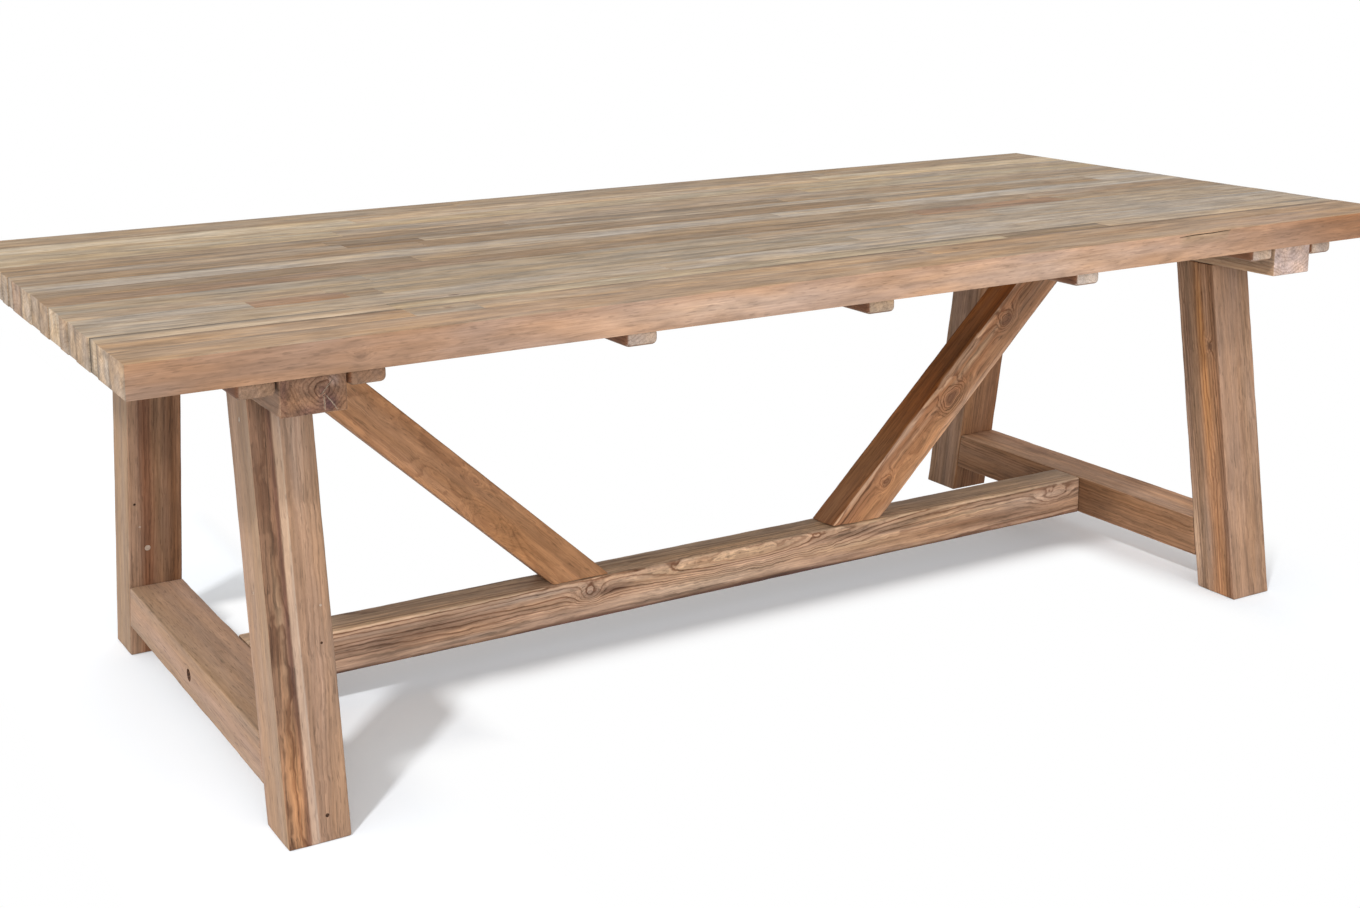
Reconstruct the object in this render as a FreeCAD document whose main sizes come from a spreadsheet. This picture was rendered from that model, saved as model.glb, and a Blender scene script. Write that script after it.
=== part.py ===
import FreeCAD, Part
import os
import Sketcher

# Sawbuck dining table in solid reclaimed timber, in millimetres.
# +X runs along the table, -Y is its front, +Z is up, and the origin is on the floor under its middle.
# Two trestles (a head beam, two leaning legs and a low rail each) stand on one stretcher with two braces.
# The top is edge-glued from boards of unequal width and is screwed to seven battens and the head beams.

sizes = {
    "table_height": 780,
    # top
    "top_length": 2520,
    "top_thick": 50,
    "top_arris": 2,
    "board_end_step": 1.5,
    # battens under the top
    "batten_width": 58,
    "batten_thick": 27,
    "batten_round": 10,
    "batten_end_inset": 23,
    "batten_pitch": 462,
    "batten_gap": 3,
    # head beams, which carry the top on the legs
    "beam_width": 100,
    "beam_height": 60,
    "beam_end_inset": 23,
    "timber_arris": 3,
    # legs: the overhang runs from the top's end to a trestle's middle, and the spreads are measured
    # over the outer faces, on the floor and under the beam
    "top_overhang": 266,
    "leg_width": 100,
    "leg_depth": 97,
    "foot_spread": 960,
    "head_spread": 754,
    "leg_tenon_thick": 34,
    "leg_tenon_width": 60,
    "leg_tenon_long": 40,
    # low rails between the legs
    "rail_width": 100,
    "rail_height": 80,
    "rail_floor_gap": 62,
    "rail_tenon_thick": 34,
    "rail_tenon_height": 50,
    "rail_tenon_long": 45,
    # stretcher between the rails
    "stretcher_width": 76,
    "stretcher_height": 80,
    "stub_tenon_thick": 30,
    "stub_tenon_height": 50,
    "stub_tenon_long": 15,
    # braces: the foot is where the lower edge meets the stretcher, measured from the table's middle
    "brace_width": 70,
    "left_brace_depth": 80,
    "left_brace_foot": 365,
    "right_brace_depth": 86,
    "right_brace_foot": 394,
    "brace_tenon_thick": 28,
    "brace_tenon_width": 60,
    "brace_tenon_long": 25,
    # fits, and how far a tenon starts inside its timber or a mortise's cutter passes the surface
    "tenon_clearance": 0.2,
    "overrun": 1,
    "fastener_clearance": 0.1,
    # countersunk screws, batten to top
    "batten_screw_end": 40,
    "screw_diameter": 5,
    "screw_head_diameter": 10,
    "screw_head_height": 3,
    "screw_long": 45,
    "screw_recess": 3.2,
    "screw_recess_deep": 2.4,
    # hexagon coach screws, head beam to top and stretcher to brace
    "coach_screw_diameter": 8,
    "coach_screw_long": 80,
    "coach_head_across": 13,
    "coach_head_height": 5.5,
    "coach_bore": 20,
    "beam_bore_depth": 12,
    "stretcher_bore_depth": 30,
    "beam_screw_end": 45,
    "beam_screw_inner": 150,
    # long screws, brace to head beam
    "brace_screw_diameter": 6,
    "brace_screw_long": 130,
    "brace_screw_across": 10,
    "brace_screw_head_height": 4,
    "brace_screw_bore": 14,
    "brace_screw_sink": 25,
    "brace_screw_spacing": 32,
    # stretcher bolts with their washers and barrel nuts
    "bolt_diameter": 10,
    "bolt_head_across": 16,
    "bolt_head_height": 6.4,
    "bolt_bore": 22,
    "bolt_bore_depth": 30,
    "washer_diameter": 20,
    "washer_thick": 2,
    "barrel_nut_diameter": 16,
    "barrel_nut_long": 40,
    "barrel_nut_setback": 45,
    "bolt_past_nut": 14,
}

# widths of the top's boards, from the back edge to the front edge
boardWidths = [95, 70, 60, 68, 42, 45, 36, 66, 65, 61, 59, 73, 47, 49, 77, 44, 62, 81]
# how many end steps each board stops short of the top's left and right ends
leftSteps = [0, 1, 0, 0, 1, 0, 1, 0, 0, 1, 0, 1, 0, 1, 0, 1, 0, 0]
rightSteps = [0, 0, 1, 1, 1, 2, 0, 0, 1, 2, 1, 1, 0, 0, 1, 2, 0, 0]
screwsPerBatten = 8

for number, width in enumerate(boardWidths, start=1):
    sizes[f"board_{number:02d}_width"] = width

doc = FreeCAD.newDocument("sawbuck_table")
sheet = doc.addObject("Spreadsheet::Sheet", "Sizes")
for row, (alias, value) in enumerate(sizes.items(), start=1):
    sheet.set(f"A{row}", alias)
    sheet.set(f"B{row}", str(value))
    sheet.setAlias(f"B{row}", alias)
doc.recompute()

# Heights and places that several pieces share, as expressions of the sheet's cells.
boardCells = [f"Sizes.board_{number:02d}_width" for number in range(1, len(boardWidths) + 1)]
topWidth = "(" + " + ".join(boardCells) + ")"
underside = "(Sizes.table_height - Sizes.top_thick)"
battenBottom = f"({underside} - Sizes.batten_thick)"
beamBottom = f"({underside} - Sizes.beam_height)"
lean = f"((Sizes.foot_spread - Sizes.head_spread) / 2 / {beamBottom})"
battenLength = f"({topWidth} - 2 * Sizes.batten_end_inset)"
beamLength = f"({topWidth} - 2 * Sizes.beam_end_inset)"
trestleX = "(Sizes.top_length / 2 - Sizes.top_overhang)"
beamInnerX = f"({trestleX} - Sizes.beam_width / 2)"
railInnerX = f"({trestleX} - Sizes.rail_width / 2)"
flankBattenX = f"({trestleX} + Sizes.beam_width / 2 + Sizes.batten_gap + Sizes.batten_width / 2)"
innerBattenX = f"({trestleX} - Sizes.beam_width / 2 - Sizes.batten_gap - Sizes.batten_width / 2)"
legHeadY = "(Sizes.head_spread / 2 - Sizes.leg_depth / 2)"
railTop = "(Sizes.rail_floor_gap + Sizes.rail_height)"
boltHeight = "(Sizes.rail_floor_gap + Sizes.rail_height / 2)"
stretcherTop = "(Sizes.rail_floor_gap + Sizes.stretcher_height)"
stretcherLength = f"(2 * {railInnerX})"
braceScrewHeight = f"(({beamBottom} + {battenBottom}) / 2)"
parts = []


def legInnerY(height):
    """Distance from the table's middle to a leg's inner face at a height."""
    return f"(Sizes.foot_spread / 2 - Sizes.leg_depth - {lean} * {height})"


def setPlace(thing, x="0", y="0", z="0", turn=0):
    """Turn a thing about Z and bind its place to expressions."""
    rotation = FreeCAD.Rotation(FreeCAD.Vector(0, 0, 1), turn)
    thing.Placement = FreeCAD.Placement(FreeCAD.Vector(), rotation)
    for axis, expression in (("x", x), ("y", y), ("z", z)):
        thing.setExpression(f"Placement.Base.{axis}", expression)


def addSketch(body, name, role):
    """Start a sketch on one of a body's own origin planes."""
    sketch = body.newObject("Sketcher::SketchObject", f"{body.Name}_{name}")
    plane = next(item for item in body.Origin.OriginFeatures if item.Role == role)
    sketch.AttachmentSupport = (plane, [""])
    sketch.MapMode = "FlatFace"
    return sketch


def fixPoint(sketch, edge, end, point):
    """Hold one end of a sketch edge at a pair of expressions."""
    for kind, letter, expression in (("DistanceX", "u", point[0]), ("DistanceY", "v", point[1])):
        name = f"{letter}{edge}"
        value = float(sheet.evalExpression(expression))
        sketch.addConstraint(Sketcher.Constraint(kind, -1, 1, edge, end, value))
        sketch.renameConstraint(sketch.ConstraintCount - 1, name)
        sketch.setExpression(f"Constraints.{name}", expression)


def addPolygon(sketch, points):
    """Draw a closed polygon whose corners are pairs of expressions."""
    first = sketch.GeometryCount
    spots = [FreeCAD.Vector(*(float(sheet.evalExpression(part)) for part in point), 0) for point in points]
    for start, end in zip(spots, spots[1:] + spots[:1]):
        sketch.addGeometry(Part.LineSegment(start, end))
    for offset, point in enumerate(points):
        following = first + (offset + 1) % len(points)
        sketch.addConstraint(Sketcher.Constraint("Coincident", first + offset, 2, following, 1))
        fixPoint(sketch, first + offset, 1, point)


def addBox(sketch, low, high):
    """Draw a rectangle between two corners."""
    addPolygon(sketch, [low, (high[0], low[1]), high, (low[0], high[1])])


def extrude(body, kind, sketch, length, symmetric=True, flip=False):
    """Add a Pad or a Pocket from a sketch."""
    feature = body.newObject(f"PartDesign::{kind}", f"{sketch.Name}_{kind}")
    feature.Profile = sketch
    feature.SideType = "Symmetric" if symmetric else "One side"
    feature.Reversed = flip
    feature.setExpression("Length", length)
    doc.recompute()
    return feature


def roundEdges(body, feature, radius, wanted):
    """Round the edges of a feature that a test picks."""
    names = [f"Edge{place}" for place, edge in enumerate(feature.Shape.Edges, start=1) if wanted(edge)]
    fillet = body.newObject("PartDesign::Fillet", f"{feature.Name}_arris")
    fillet.Base = (feature, names)
    fillet.setExpression("Radius", radius)
    doc.recompute()
    return fillet


def addBody(name):
    """Start a body."""
    return doc.addObject("PartDesign::Body", f"{name}_body")


def turnedBody(name, outline, upright=True):
    """Turn a half outline of (radius, distance along) pairs about the body's Z axis, or its X axis."""
    body = addBody(name)
    sketch = addSketch(body, "outline", "XZ_Plane")
    addPolygon(sketch, outline if upright else [(along, radius) for radius, along in outline])
    revolution = body.newObject("PartDesign::Revolution", f"{name}_turned")
    revolution.Profile = sketch
    revolution.ReferenceAxis = (sketch, ["V_Axis" if upright else "H_Axis"])
    revolution.Angle = 360
    doc.recompute()
    return body


def gather(name, source, places):
    """Repeat one body at several places and gather the copies into one compound."""
    copies = []
    for number, place in enumerate(places, start=1):
        copy = doc.addObject("App::Link", f"{name}_{number:02d}")
        copy.LinkedObject = source
        setPlace(copy, *place)
        copies.append(copy)
    compound = doc.addObject("Part::Compound", name)
    compound.Links = copies
    return compound


def cutAway(name, base, tools):
    """Cut several tools from a piece, one after another."""
    for number, tool in enumerate(tools, start=1):
        cut = doc.addObject("Part::Cut", f"{name}_cut{number}")
        cut.Base = base
        cut.Tool = tool
        base = cut
    return base


def keep(name, piece, count=1):
    """Name a finished piece, or a group of this many equal pieces, and list it for the export."""
    piece.Label = name
    parts.append((piece, count))


# Fasteners: each kind is one body, repeated where it is used, with a body that cuts its hole.

def screwOutline(spare):
    """Half outline of the countersunk screw, grown by a clearance."""
    shank = f"Sizes.screw_diameter / 2 + {spare}"
    return [("0", "0"), (f"Sizes.screw_head_diameter / 2 + {spare}", "0"),
            (shank, "Sizes.screw_head_height"), (shank, "Sizes.screw_long - Sizes.screw_diameter"),
            ("0", f"Sizes.screw_long + {spare}")]


def addScrew():
    """Countersunk screw that points up, with a square recess in its head."""
    body = turnedBody("screw", screwOutline("0"))
    recess = addSketch(body, "recess", "XY_Plane")
    half = "Sizes.screw_recess / 2"
    addBox(recess, (f"-{half}", f"-{half}"), (half, half))
    extrude(body, "Pocket", recess, "Sizes.screw_recess_deep", symmetric=False, flip=True)
    return body


def addHexScrew(name, diameter, across, headHeight, length, upright=True, seat="0"):
    """Hexagon-headed screw or bolt along +Z or +X, whose head sits on a plane at seat."""
    radius = f"{diameter} / 2"
    outline = [("0", seat), (radius, seat), (radius, f"{length} - {diameter} / 4"),
               (f"{radius} / 2", length), ("0", length)]
    body = turnedBody(name, outline, upright)
    head = addSketch(body, "head", "XY_Plane" if upright else "YZ_Plane")
    head.setExpression("AttachmentOffset.Base.z", seat)
    flat = f"{across} / 2"
    corner = f"{across} / sqrt(3)"
    addPolygon(head, [(corner, "0"), (f"{corner} / 2", flat), (f"-{corner} / 2", flat),
                      (f"-{corner}", "0"), (f"-{corner} / 2", f"-{flat}"), (f"{corner} / 2", f"-{flat}")])
    extrude(body, "Pad", head, headHeight, symmetric=False, flip=True)
    return body


def addBore(name, diameter, length, bore, depth, upright=True):
    """Cutter for a hexagon-headed screw: its clearance hole and the bore behind its head."""
    shank = f"{diameter} / 2 + Sizes.fastener_clearance"
    end = f"{length} + Sizes.fastener_clearance"
    outline = [("0", f"-{depth}"), (f"{bore} / 2", f"-{depth}"), (f"{bore} / 2", "0"),
               (shank, "0"), (shank, end), ("0", end)]
    return turnedBody(name, outline, upright)


def addWasher():
    """Flat washer along +X whose inner face is at zero."""
    inner = "Sizes.bolt_diameter / 2 + Sizes.fastener_clearance"
    outer = "Sizes.washer_diameter / 2"
    return turnedBody("washer", [(inner, "-Sizes.washer_thick"), (outer, "-Sizes.washer_thick"),
                                 (outer, "0"), (inner, "0")], upright=False)


def addBarrelNut():
    """Upright barrel nut with its cross hole along X."""
    half = "Sizes.barrel_nut_long / 2"
    radius = "Sizes.barrel_nut_diameter / 2"
    body = turnedBody("barrel_nut", [("0", f"-{half}"), (radius, f"-{half}"), (radius, half), ("0", half)])
    hole = addSketch(body, "hole", "YZ_Plane")
    hole.addGeometry(Part.Circle(FreeCAD.Vector(), FreeCAD.Vector(0, 0, 1), sizes["bolt_diameter"] / 2))
    hole.addConstraint(Sketcher.Constraint("Coincident", 0, 3, -1, 1))
    hole.addConstraint(Sketcher.Constraint("Radius", 0, sizes["bolt_diameter"] / 2))
    hole.renameConstraint(hole.ConstraintCount - 1, "bore")
    hole.setExpression("Constraints.bore", "Sizes.bolt_diameter / 2 + Sizes.fastener_clearance")
    extrude(body, "Pocket", hole, "Sizes.barrel_nut_diameter * 2")
    return body


# Where each kind of fastener goes.
battenPlaces = {
    "batten_left_outer": f"-{flankBattenX}",
    "batten_left_inner": f"-{innerBattenX}",
    "batten_mid_left": "-Sizes.batten_pitch",
    "batten_middle": "0",
    "batten_mid_right": "Sizes.batten_pitch",
    "batten_right_inner": innerBattenX,
    "batten_right_outer": flankBattenX,
}
screwRow = f"({battenLength} - 2 * Sizes.batten_screw_end)"
screwPlaces = [(x, f"{screwRow} * {number / (screwsPerBatten - 1) - 0.5}", battenBottom)
               for x in battenPlaces.values() for number in range(screwsPerBatten)]
beamScrewOuter = f"({beamLength} / 2 - Sizes.beam_screw_end)"
beamScrewPlaces = [(f"{side}{trestleX}", y, f"{beamBottom} + Sizes.beam_bore_depth")
                   for side in ("-", "")
                   for y in (f"-{beamScrewOuter}", "-Sizes.beam_screw_inner",
                             "Sizes.beam_screw_inner", beamScrewOuter)]


def braceRun(side):
    """Level length of a brace's slope from its foot to the head beam."""
    return f"({beamInnerX} - Sizes.{side}_brace_foot)"


braceRise = f"({beamBottom} - {stretcherTop})"


def braceHeel(side):
    """Where a brace's upper edge meets the stretcher, from the table's middle."""
    across = f"Sizes.{side}_brace_depth / sin(atan2({braceRise}; {braceRun(side)}))"
    return f"(Sizes.{side}_brace_foot - {across})"


def braceUpperX(side, height):
    """Where a brace's upper edge passes a height, from the table's middle."""
    return f"({braceHeel(side)} + ({height} - {stretcherTop}) * {braceRun(side)} / {braceRise})"


def braceTenonX(side):
    """Middle of a brace's foot, from the table's middle."""
    return f"((Sizes.{side}_brace_foot + {braceHeel(side)}) / 2)"


braceFootPlaces = [(f"{sign}{braceTenonX(side)}", "0", "Sizes.rail_floor_gap + Sizes.stretcher_bore_depth")
                   for side, sign in (("left", "-"), ("right", ""))]
braceHeadPlaces = [(f"{sign}({braceUpperX(side, braceScrewHeight)} + Sizes.brace_screw_sink)",
                    f"{row} * Sizes.brace_screw_spacing / 2", braceScrewHeight, turn)
                   for side, sign, turn in (("left", "-", 180), ("right", "", 0)) for row in (-1, 1)]
boltSeat = f"({trestleX} + Sizes.rail_width / 2 - Sizes.bolt_bore_depth)"
boltPlaces = [(f"-{boltSeat}", "0", boltHeight, 0), (boltSeat, "0", boltHeight, 180)]
nutX = f"({railInnerX} - Sizes.barrel_nut_setback)"
nutPlaces = [(f"-{nutX}", "0", boltHeight), (nutX, "0", boltHeight)]
boltLong = "(Sizes.rail_width - Sizes.bolt_bore_depth + Sizes.barrel_nut_setback + Sizes.bolt_past_nut)"
coachScrew = addHexScrew("coach_screw", "Sizes.coach_screw_diameter", "Sizes.coach_head_across",
                         "Sizes.coach_head_height", "Sizes.coach_screw_long")
fastenerGroups = {
    "batten_screws": (addScrew(), screwPlaces),
    "head_beam_screws": (coachScrew, beamScrewPlaces),
    "brace_foot_screws": (coachScrew, braceFootPlaces),
    "brace_head_screws": (addHexScrew("brace_screw", "Sizes.brace_screw_diameter", "Sizes.brace_screw_across",
                                      "Sizes.brace_screw_head_height", "Sizes.brace_screw_long",
                                      upright=False), braceHeadPlaces),
    "stretcher_bolts": (addHexScrew("bolt", "Sizes.bolt_diameter", "Sizes.bolt_head_across",
                                    "Sizes.bolt_head_height", boltLong, upright=False,
                                    seat="-Sizes.washer_thick"), boltPlaces),
    "stretcher_washers": (addWasher(), boltPlaces),
    "barrel_nuts": (addBarrelNut(), nutPlaces),
}
for name, (source, places) in fastenerGroups.items():
    keep(name, gather(name, source, places), len(places))

screwHoles = gather("screw_holes", turnedBody("screw_hole", screwOutline("Sizes.fastener_clearance")),
                    screwPlaces)
beamBores = gather("beam_bores", addBore("beam_bore", "Sizes.coach_screw_diameter", "Sizes.coach_screw_long",
                                         "Sizes.coach_bore", "Sizes.beam_bore_depth"), beamScrewPlaces)
footBores = gather("foot_bores", addBore("foot_bore", "Sizes.coach_screw_diameter", "Sizes.coach_screw_long",
                                         "Sizes.coach_bore", "Sizes.stretcher_bore_depth"), braceFootPlaces)
braceBores = gather("brace_bores", addBore("brace_bore", "Sizes.brace_screw_diameter",
                                           "Sizes.brace_screw_long", "Sizes.brace_screw_bore",
                                           "2 * Sizes.brace_screw_sink", upright=False), braceHeadPlaces)
boltBores = gather("bolt_bores", addBore("bolt_bore", "Sizes.bolt_diameter", boltLong, "Sizes.bolt_bore",
                                         "Sizes.bolt_bore_depth", upright=False), boltPlaces)
nutRadius = "Sizes.barrel_nut_diameter / 2 + Sizes.fastener_clearance"
nutTop = "Sizes.barrel_nut_long / 2 + Sizes.fastener_clearance"
nutBottom = "-Sizes.rail_height / 2"
nutBores = gather("nut_bores", turnedBody("nut_bore", [("0", nutBottom), (nutRadius, nutBottom),
                                                       (nutRadius, nutTop), ("0", nutTop)]), nutPlaces)


# Timbers

def addBoard(number):
    """One board of the top, from its back edge forward, with its outer arrises eased."""
    width = f"Sizes.board_{number:02d}_width"
    name = f"top_board_{number:02d}"
    leftStep = f"{leftSteps[number - 1]} * Sizes.board_end_step"
    rightStep = f"{rightSteps[number - 1]} * Sizes.board_end_step"
    body = addBody(name)
    section = addSketch(body, "section", "YZ_Plane")
    addBox(section, (f"-{width}", "0"), ("0", "Sizes.top_thick"))
    pad = extrude(body, "Pad", section, f"Sizes.top_length - {leftStep} - {rightStep}", symmetric=False)
    outerY = {1: 0, len(boardWidths): -sizes[f"board_{number:02d}_width"]}.get(number)
    if outerY is not None:
        roundEdges(body, pad, "Sizes.top_arris",
                   lambda edge: edge.BoundBox.XLength > sizes["top_length"] / 2
                   and abs(edge.BoundBox.Center.y - outerY) < sizes["top_arris"])
    passed = " - ".join([f"{topWidth} / 2"] + boardCells[:number - 1])
    setPlace(body, f"-Sizes.top_length / 2 + {leftStep}", passed, underside)
    keep(name, cutAway(name, body, [screwHoles, beamBores]))


def addBatten(name, x):
    """A batten across the top's underside, with its two lower edges rounded."""
    body = addBody(name)
    section = addSketch(body, "section", "XZ_Plane")
    half = "Sizes.batten_width / 2"
    addBox(section, (f"-{half}", "0"), (half, "Sizes.batten_thick"))
    pad = extrude(body, "Pad", section, battenLength)
    roundEdges(body, pad, "Sizes.batten_round",
               lambda edge: edge.BoundBox.YLength > sizes["batten_width"]
               and edge.BoundBox.Center.z < sizes["batten_thick"] / 2)
    setPlace(body, x, "0", battenBottom)
    keep(name, cutAway(name, body, [screwHoles]))


def addHeadBeam(name, x):
    """A head beam with two mortises for the tenons of the legs."""
    body = addBody(name)
    section = addSketch(body, "section", "XZ_Plane")
    half = "Sizes.beam_width / 2"
    addBox(section, (f"-{half}", beamBottom), (half, underside))
    pad = extrude(body, "Pad", section, beamLength)
    roundEdges(body, pad, "Sizes.timber_arris", lambda edge: edge.BoundBox.YLength > sizes["beam_width"])
    mortises = addSketch(body, "mortises", "YZ_Plane")
    reach = "(Sizes.leg_tenon_width / 2 + Sizes.tenon_clearance)"
    top = f"{beamBottom} + Sizes.leg_tenon_long + Sizes.tenon_clearance"
    for side in ("-", ""):
        middle = f"{side}{legHeadY}"
        addBox(mortises, (f"{middle} - {reach}", f"{beamBottom} - Sizes.overrun"),
               (f"{middle} + {reach}", top))
    extrude(body, "Pocket", mortises, "Sizes.leg_tenon_thick + 2 * Sizes.tenon_clearance")
    setPlace(body, x)
    keep(name, cutAway(name, body, [beamBores, braceBores]))


def addLeg(name, x, turn):
    """A leaning leg: level sole and shoulder, a tenon into the head beam, a mortise for the rail."""
    body = addBody(name)
    profile = addSketch(body, "profile", "YZ_Plane")
    foot = "Sizes.foot_spread / 2"
    head = "Sizes.head_spread / 2"
    addPolygon(profile, [(f"-{foot}", "0"), (f"-{foot} + Sizes.leg_depth", "0"),
                         (f"-{head} + Sizes.leg_depth", beamBottom), (f"-{head}", beamBottom)])
    pad = extrude(body, "Pad", profile, "Sizes.leg_width")
    roundEdges(body, pad, "Sizes.timber_arris", lambda edge: edge.BoundBox.ZLength > sizes["leg_width"])
    tenon = addSketch(body, "tenon", "YZ_Plane")
    reach = "Sizes.leg_tenon_width / 2"
    addBox(tenon, (f"-{legHeadY} - {reach}", f"{beamBottom} - Sizes.overrun"),
           (f"-{legHeadY} + {reach}", f"{beamBottom} + Sizes.leg_tenon_long"))
    extrude(body, "Pad", tenon, "Sizes.leg_tenon_thick")
    mortise = addSketch(body, "mortise", "YZ_Plane")
    shoulder = legInnerY(boltHeight)
    rise = "(Sizes.rail_tenon_height / 2 + Sizes.tenon_clearance)"
    deep = f"(-{shoulder} - Sizes.rail_tenon_long - Sizes.tenon_clearance)"
    addBox(mortise, (deep, f"{boltHeight} - {rise}"),
           (f"-{shoulder} + Sizes.rail_tenon_height", f"{boltHeight} + {rise}"))
    extrude(body, "Pocket", mortise, "Sizes.rail_tenon_thick + 2 * Sizes.tenon_clearance")
    setPlace(body, x, turn=turn)
    keep(name, body)


def addRail(name, x):
    """A low rail whose shoulders lean with the legs, with a tenon and a stretcher mortise."""
    body = addBody(name)
    profile = addSketch(body, "profile", "YZ_Plane")
    bottom = "Sizes.rail_floor_gap"
    low = legInnerY(bottom)
    high = legInnerY(railTop)
    addPolygon(profile, [(f"-{low}", bottom), (low, bottom), (high, railTop), (f"-{high}", railTop)])
    pad = extrude(body, "Pad", profile, "Sizes.rail_width")
    roundEdges(body, pad, "Sizes.timber_arris", lambda edge: edge.BoundBox.YLength > sizes["rail_width"])
    tenons = addSketch(body, "tenons", "YZ_Plane")
    reach = f"({legInnerY(boltHeight)} + Sizes.rail_tenon_long)"
    rise = "Sizes.rail_tenon_height / 2"
    addBox(tenons, (f"-{reach}", f"{boltHeight} - {rise}"), (reach, f"{boltHeight} + {rise}"))
    extrude(body, "Pad", tenons, "Sizes.rail_tenon_thick")
    setPlace(body, x)
    keep(name, cutAway(name, body, [stretcherMortises, boltBores]))


def addStubMortises():
    """Cutter for the mortises in both rails: the stretcher's stub tenons, grown by the clearance."""
    body = addBody("stub_mortises")
    section = addSketch(body, "section", "YZ_Plane")
    half = "(Sizes.stub_tenon_thick / 2 + Sizes.tenon_clearance)"
    rise = "(Sizes.stub_tenon_height / 2 + Sizes.tenon_clearance)"
    addBox(section, (f"-{half}", f"{boltHeight} - {rise}"), (half, f"{boltHeight} + {rise}"))
    extrude(body, "Pad", section,
            f"{stretcherLength} + 2 * Sizes.stub_tenon_long + 2 * Sizes.tenon_clearance")
    return body


def addStretcher():
    """The stretcher with a stub tenon at each end and a mortise under each brace."""
    body = addBody("stretcher")
    section = addSketch(body, "section", "YZ_Plane")
    half = "Sizes.stretcher_width / 2"
    addBox(section, (f"-{half}", "Sizes.rail_floor_gap"), (half, stretcherTop))
    pad = extrude(body, "Pad", section, stretcherLength)
    roundEdges(body, pad, "Sizes.timber_arris", lambda edge: edge.BoundBox.XLength > sizes["rail_width"])
    tenons = addSketch(body, "tenons", "YZ_Plane")
    half = "Sizes.stub_tenon_thick / 2"
    rise = "Sizes.stub_tenon_height / 2"
    addBox(tenons, (f"-{half}", f"{boltHeight} - {rise}"), (half, f"{boltHeight} + {rise}"))
    extrude(body, "Pad", tenons, f"{stretcherLength} + 2 * Sizes.stub_tenon_long")
    mortises = addSketch(body, "mortises", "XZ_Plane")
    reach = "(Sizes.brace_tenon_width / 2 + Sizes.tenon_clearance)"
    floor = f"{stretcherTop} - Sizes.brace_tenon_long - Sizes.tenon_clearance"
    for side, sign in (("left", "-"), ("right", "")):
        middle = f"{sign}{braceTenonX(side)}"
        addBox(mortises, (f"{middle} - {reach}", floor),
               (f"{middle} + {reach}", f"{stretcherTop} + Sizes.overrun"))
    extrude(body, "Pocket", mortises, "Sizes.brace_tenon_thick + 2 * Sizes.tenon_clearance")
    keep("stretcher", cutAway("stretcher", body, [boltBores, nutBores, footBores]))


def addBrace(side, turn):
    """A brace cut level on the stretcher and under the inner batten, and plumb at the head beam."""
    name = f"brace_{side}"
    body = addBody(name)
    profile = addSketch(body, "profile", "XZ_Plane")
    addPolygon(profile, [(f"Sizes.{side}_brace_foot", stretcherTop), (beamInnerX, beamBottom),
                         (beamInnerX, battenBottom), (braceUpperX(side, battenBottom), battenBottom),
                         (braceHeel(side), stretcherTop)])
    pad = extrude(body, "Pad", profile, "Sizes.brace_width")
    roundEdges(body, pad, "Sizes.timber_arris",
               lambda edge: edge.BoundBox.ZLength > sizes["brace_width"])
    tenon = addSketch(body, "tenon", "XZ_Plane")
    reach = "Sizes.brace_tenon_width / 2"
    addBox(tenon, (f"{braceTenonX(side)} - {reach}", f"{stretcherTop} - Sizes.brace_tenon_long"),
           (f"{braceTenonX(side)} + {reach}", f"{stretcherTop} + Sizes.overrun"))
    extrude(body, "Pad", tenon, "Sizes.brace_tenon_thick")
    setPlace(body, turn=turn)
    keep(name, cutAway(name, body, [footBores, braceBores]))


for number in range(1, len(boardWidths) + 1):
    addBoard(number)
for name, x in battenPlaces.items():
    addBatten(name, x)
stretcherMortises = addStubMortises()
for side, sign in (("left", "-"), ("right", "")):
    x = f"{sign}{trestleX}"
    addHeadBeam(f"head_beam_{side}", x)
    addLeg(f"leg_front_{side}", x, 0)
    addLeg(f"leg_back_{side}", x, 180)
    addRail(f"rail_{side}", x)
addStretcher()
addBrace("left", 180)
addBrace("right", 0)

doc.recompute()
for thing in doc.Objects:
    if "Invalid" in thing.State or "Error" in thing.State:
        raise RuntimeError(f"{thing.Name} failed: {thing.State}")
for piece, count in parts:
    shape = piece.Shape
    if shape.isNull() or not shape.isValid() or len(shape.Solids) != count:
        raise RuntimeError(f"{piece.Label} has a bad shape with {len(shape.Solids)} solids")

os.makedirs("parts", exist_ok=True)
for piece, count in parts:
    piece.Shape.exportStep(f"parts/{piece.Label}.step")
print(f"{len(parts)} nodes written")
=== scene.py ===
import math
import random
from functools import partial

import bmesh
import bpy
import numpy as np
from mathutils import Matrix, Vector


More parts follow.
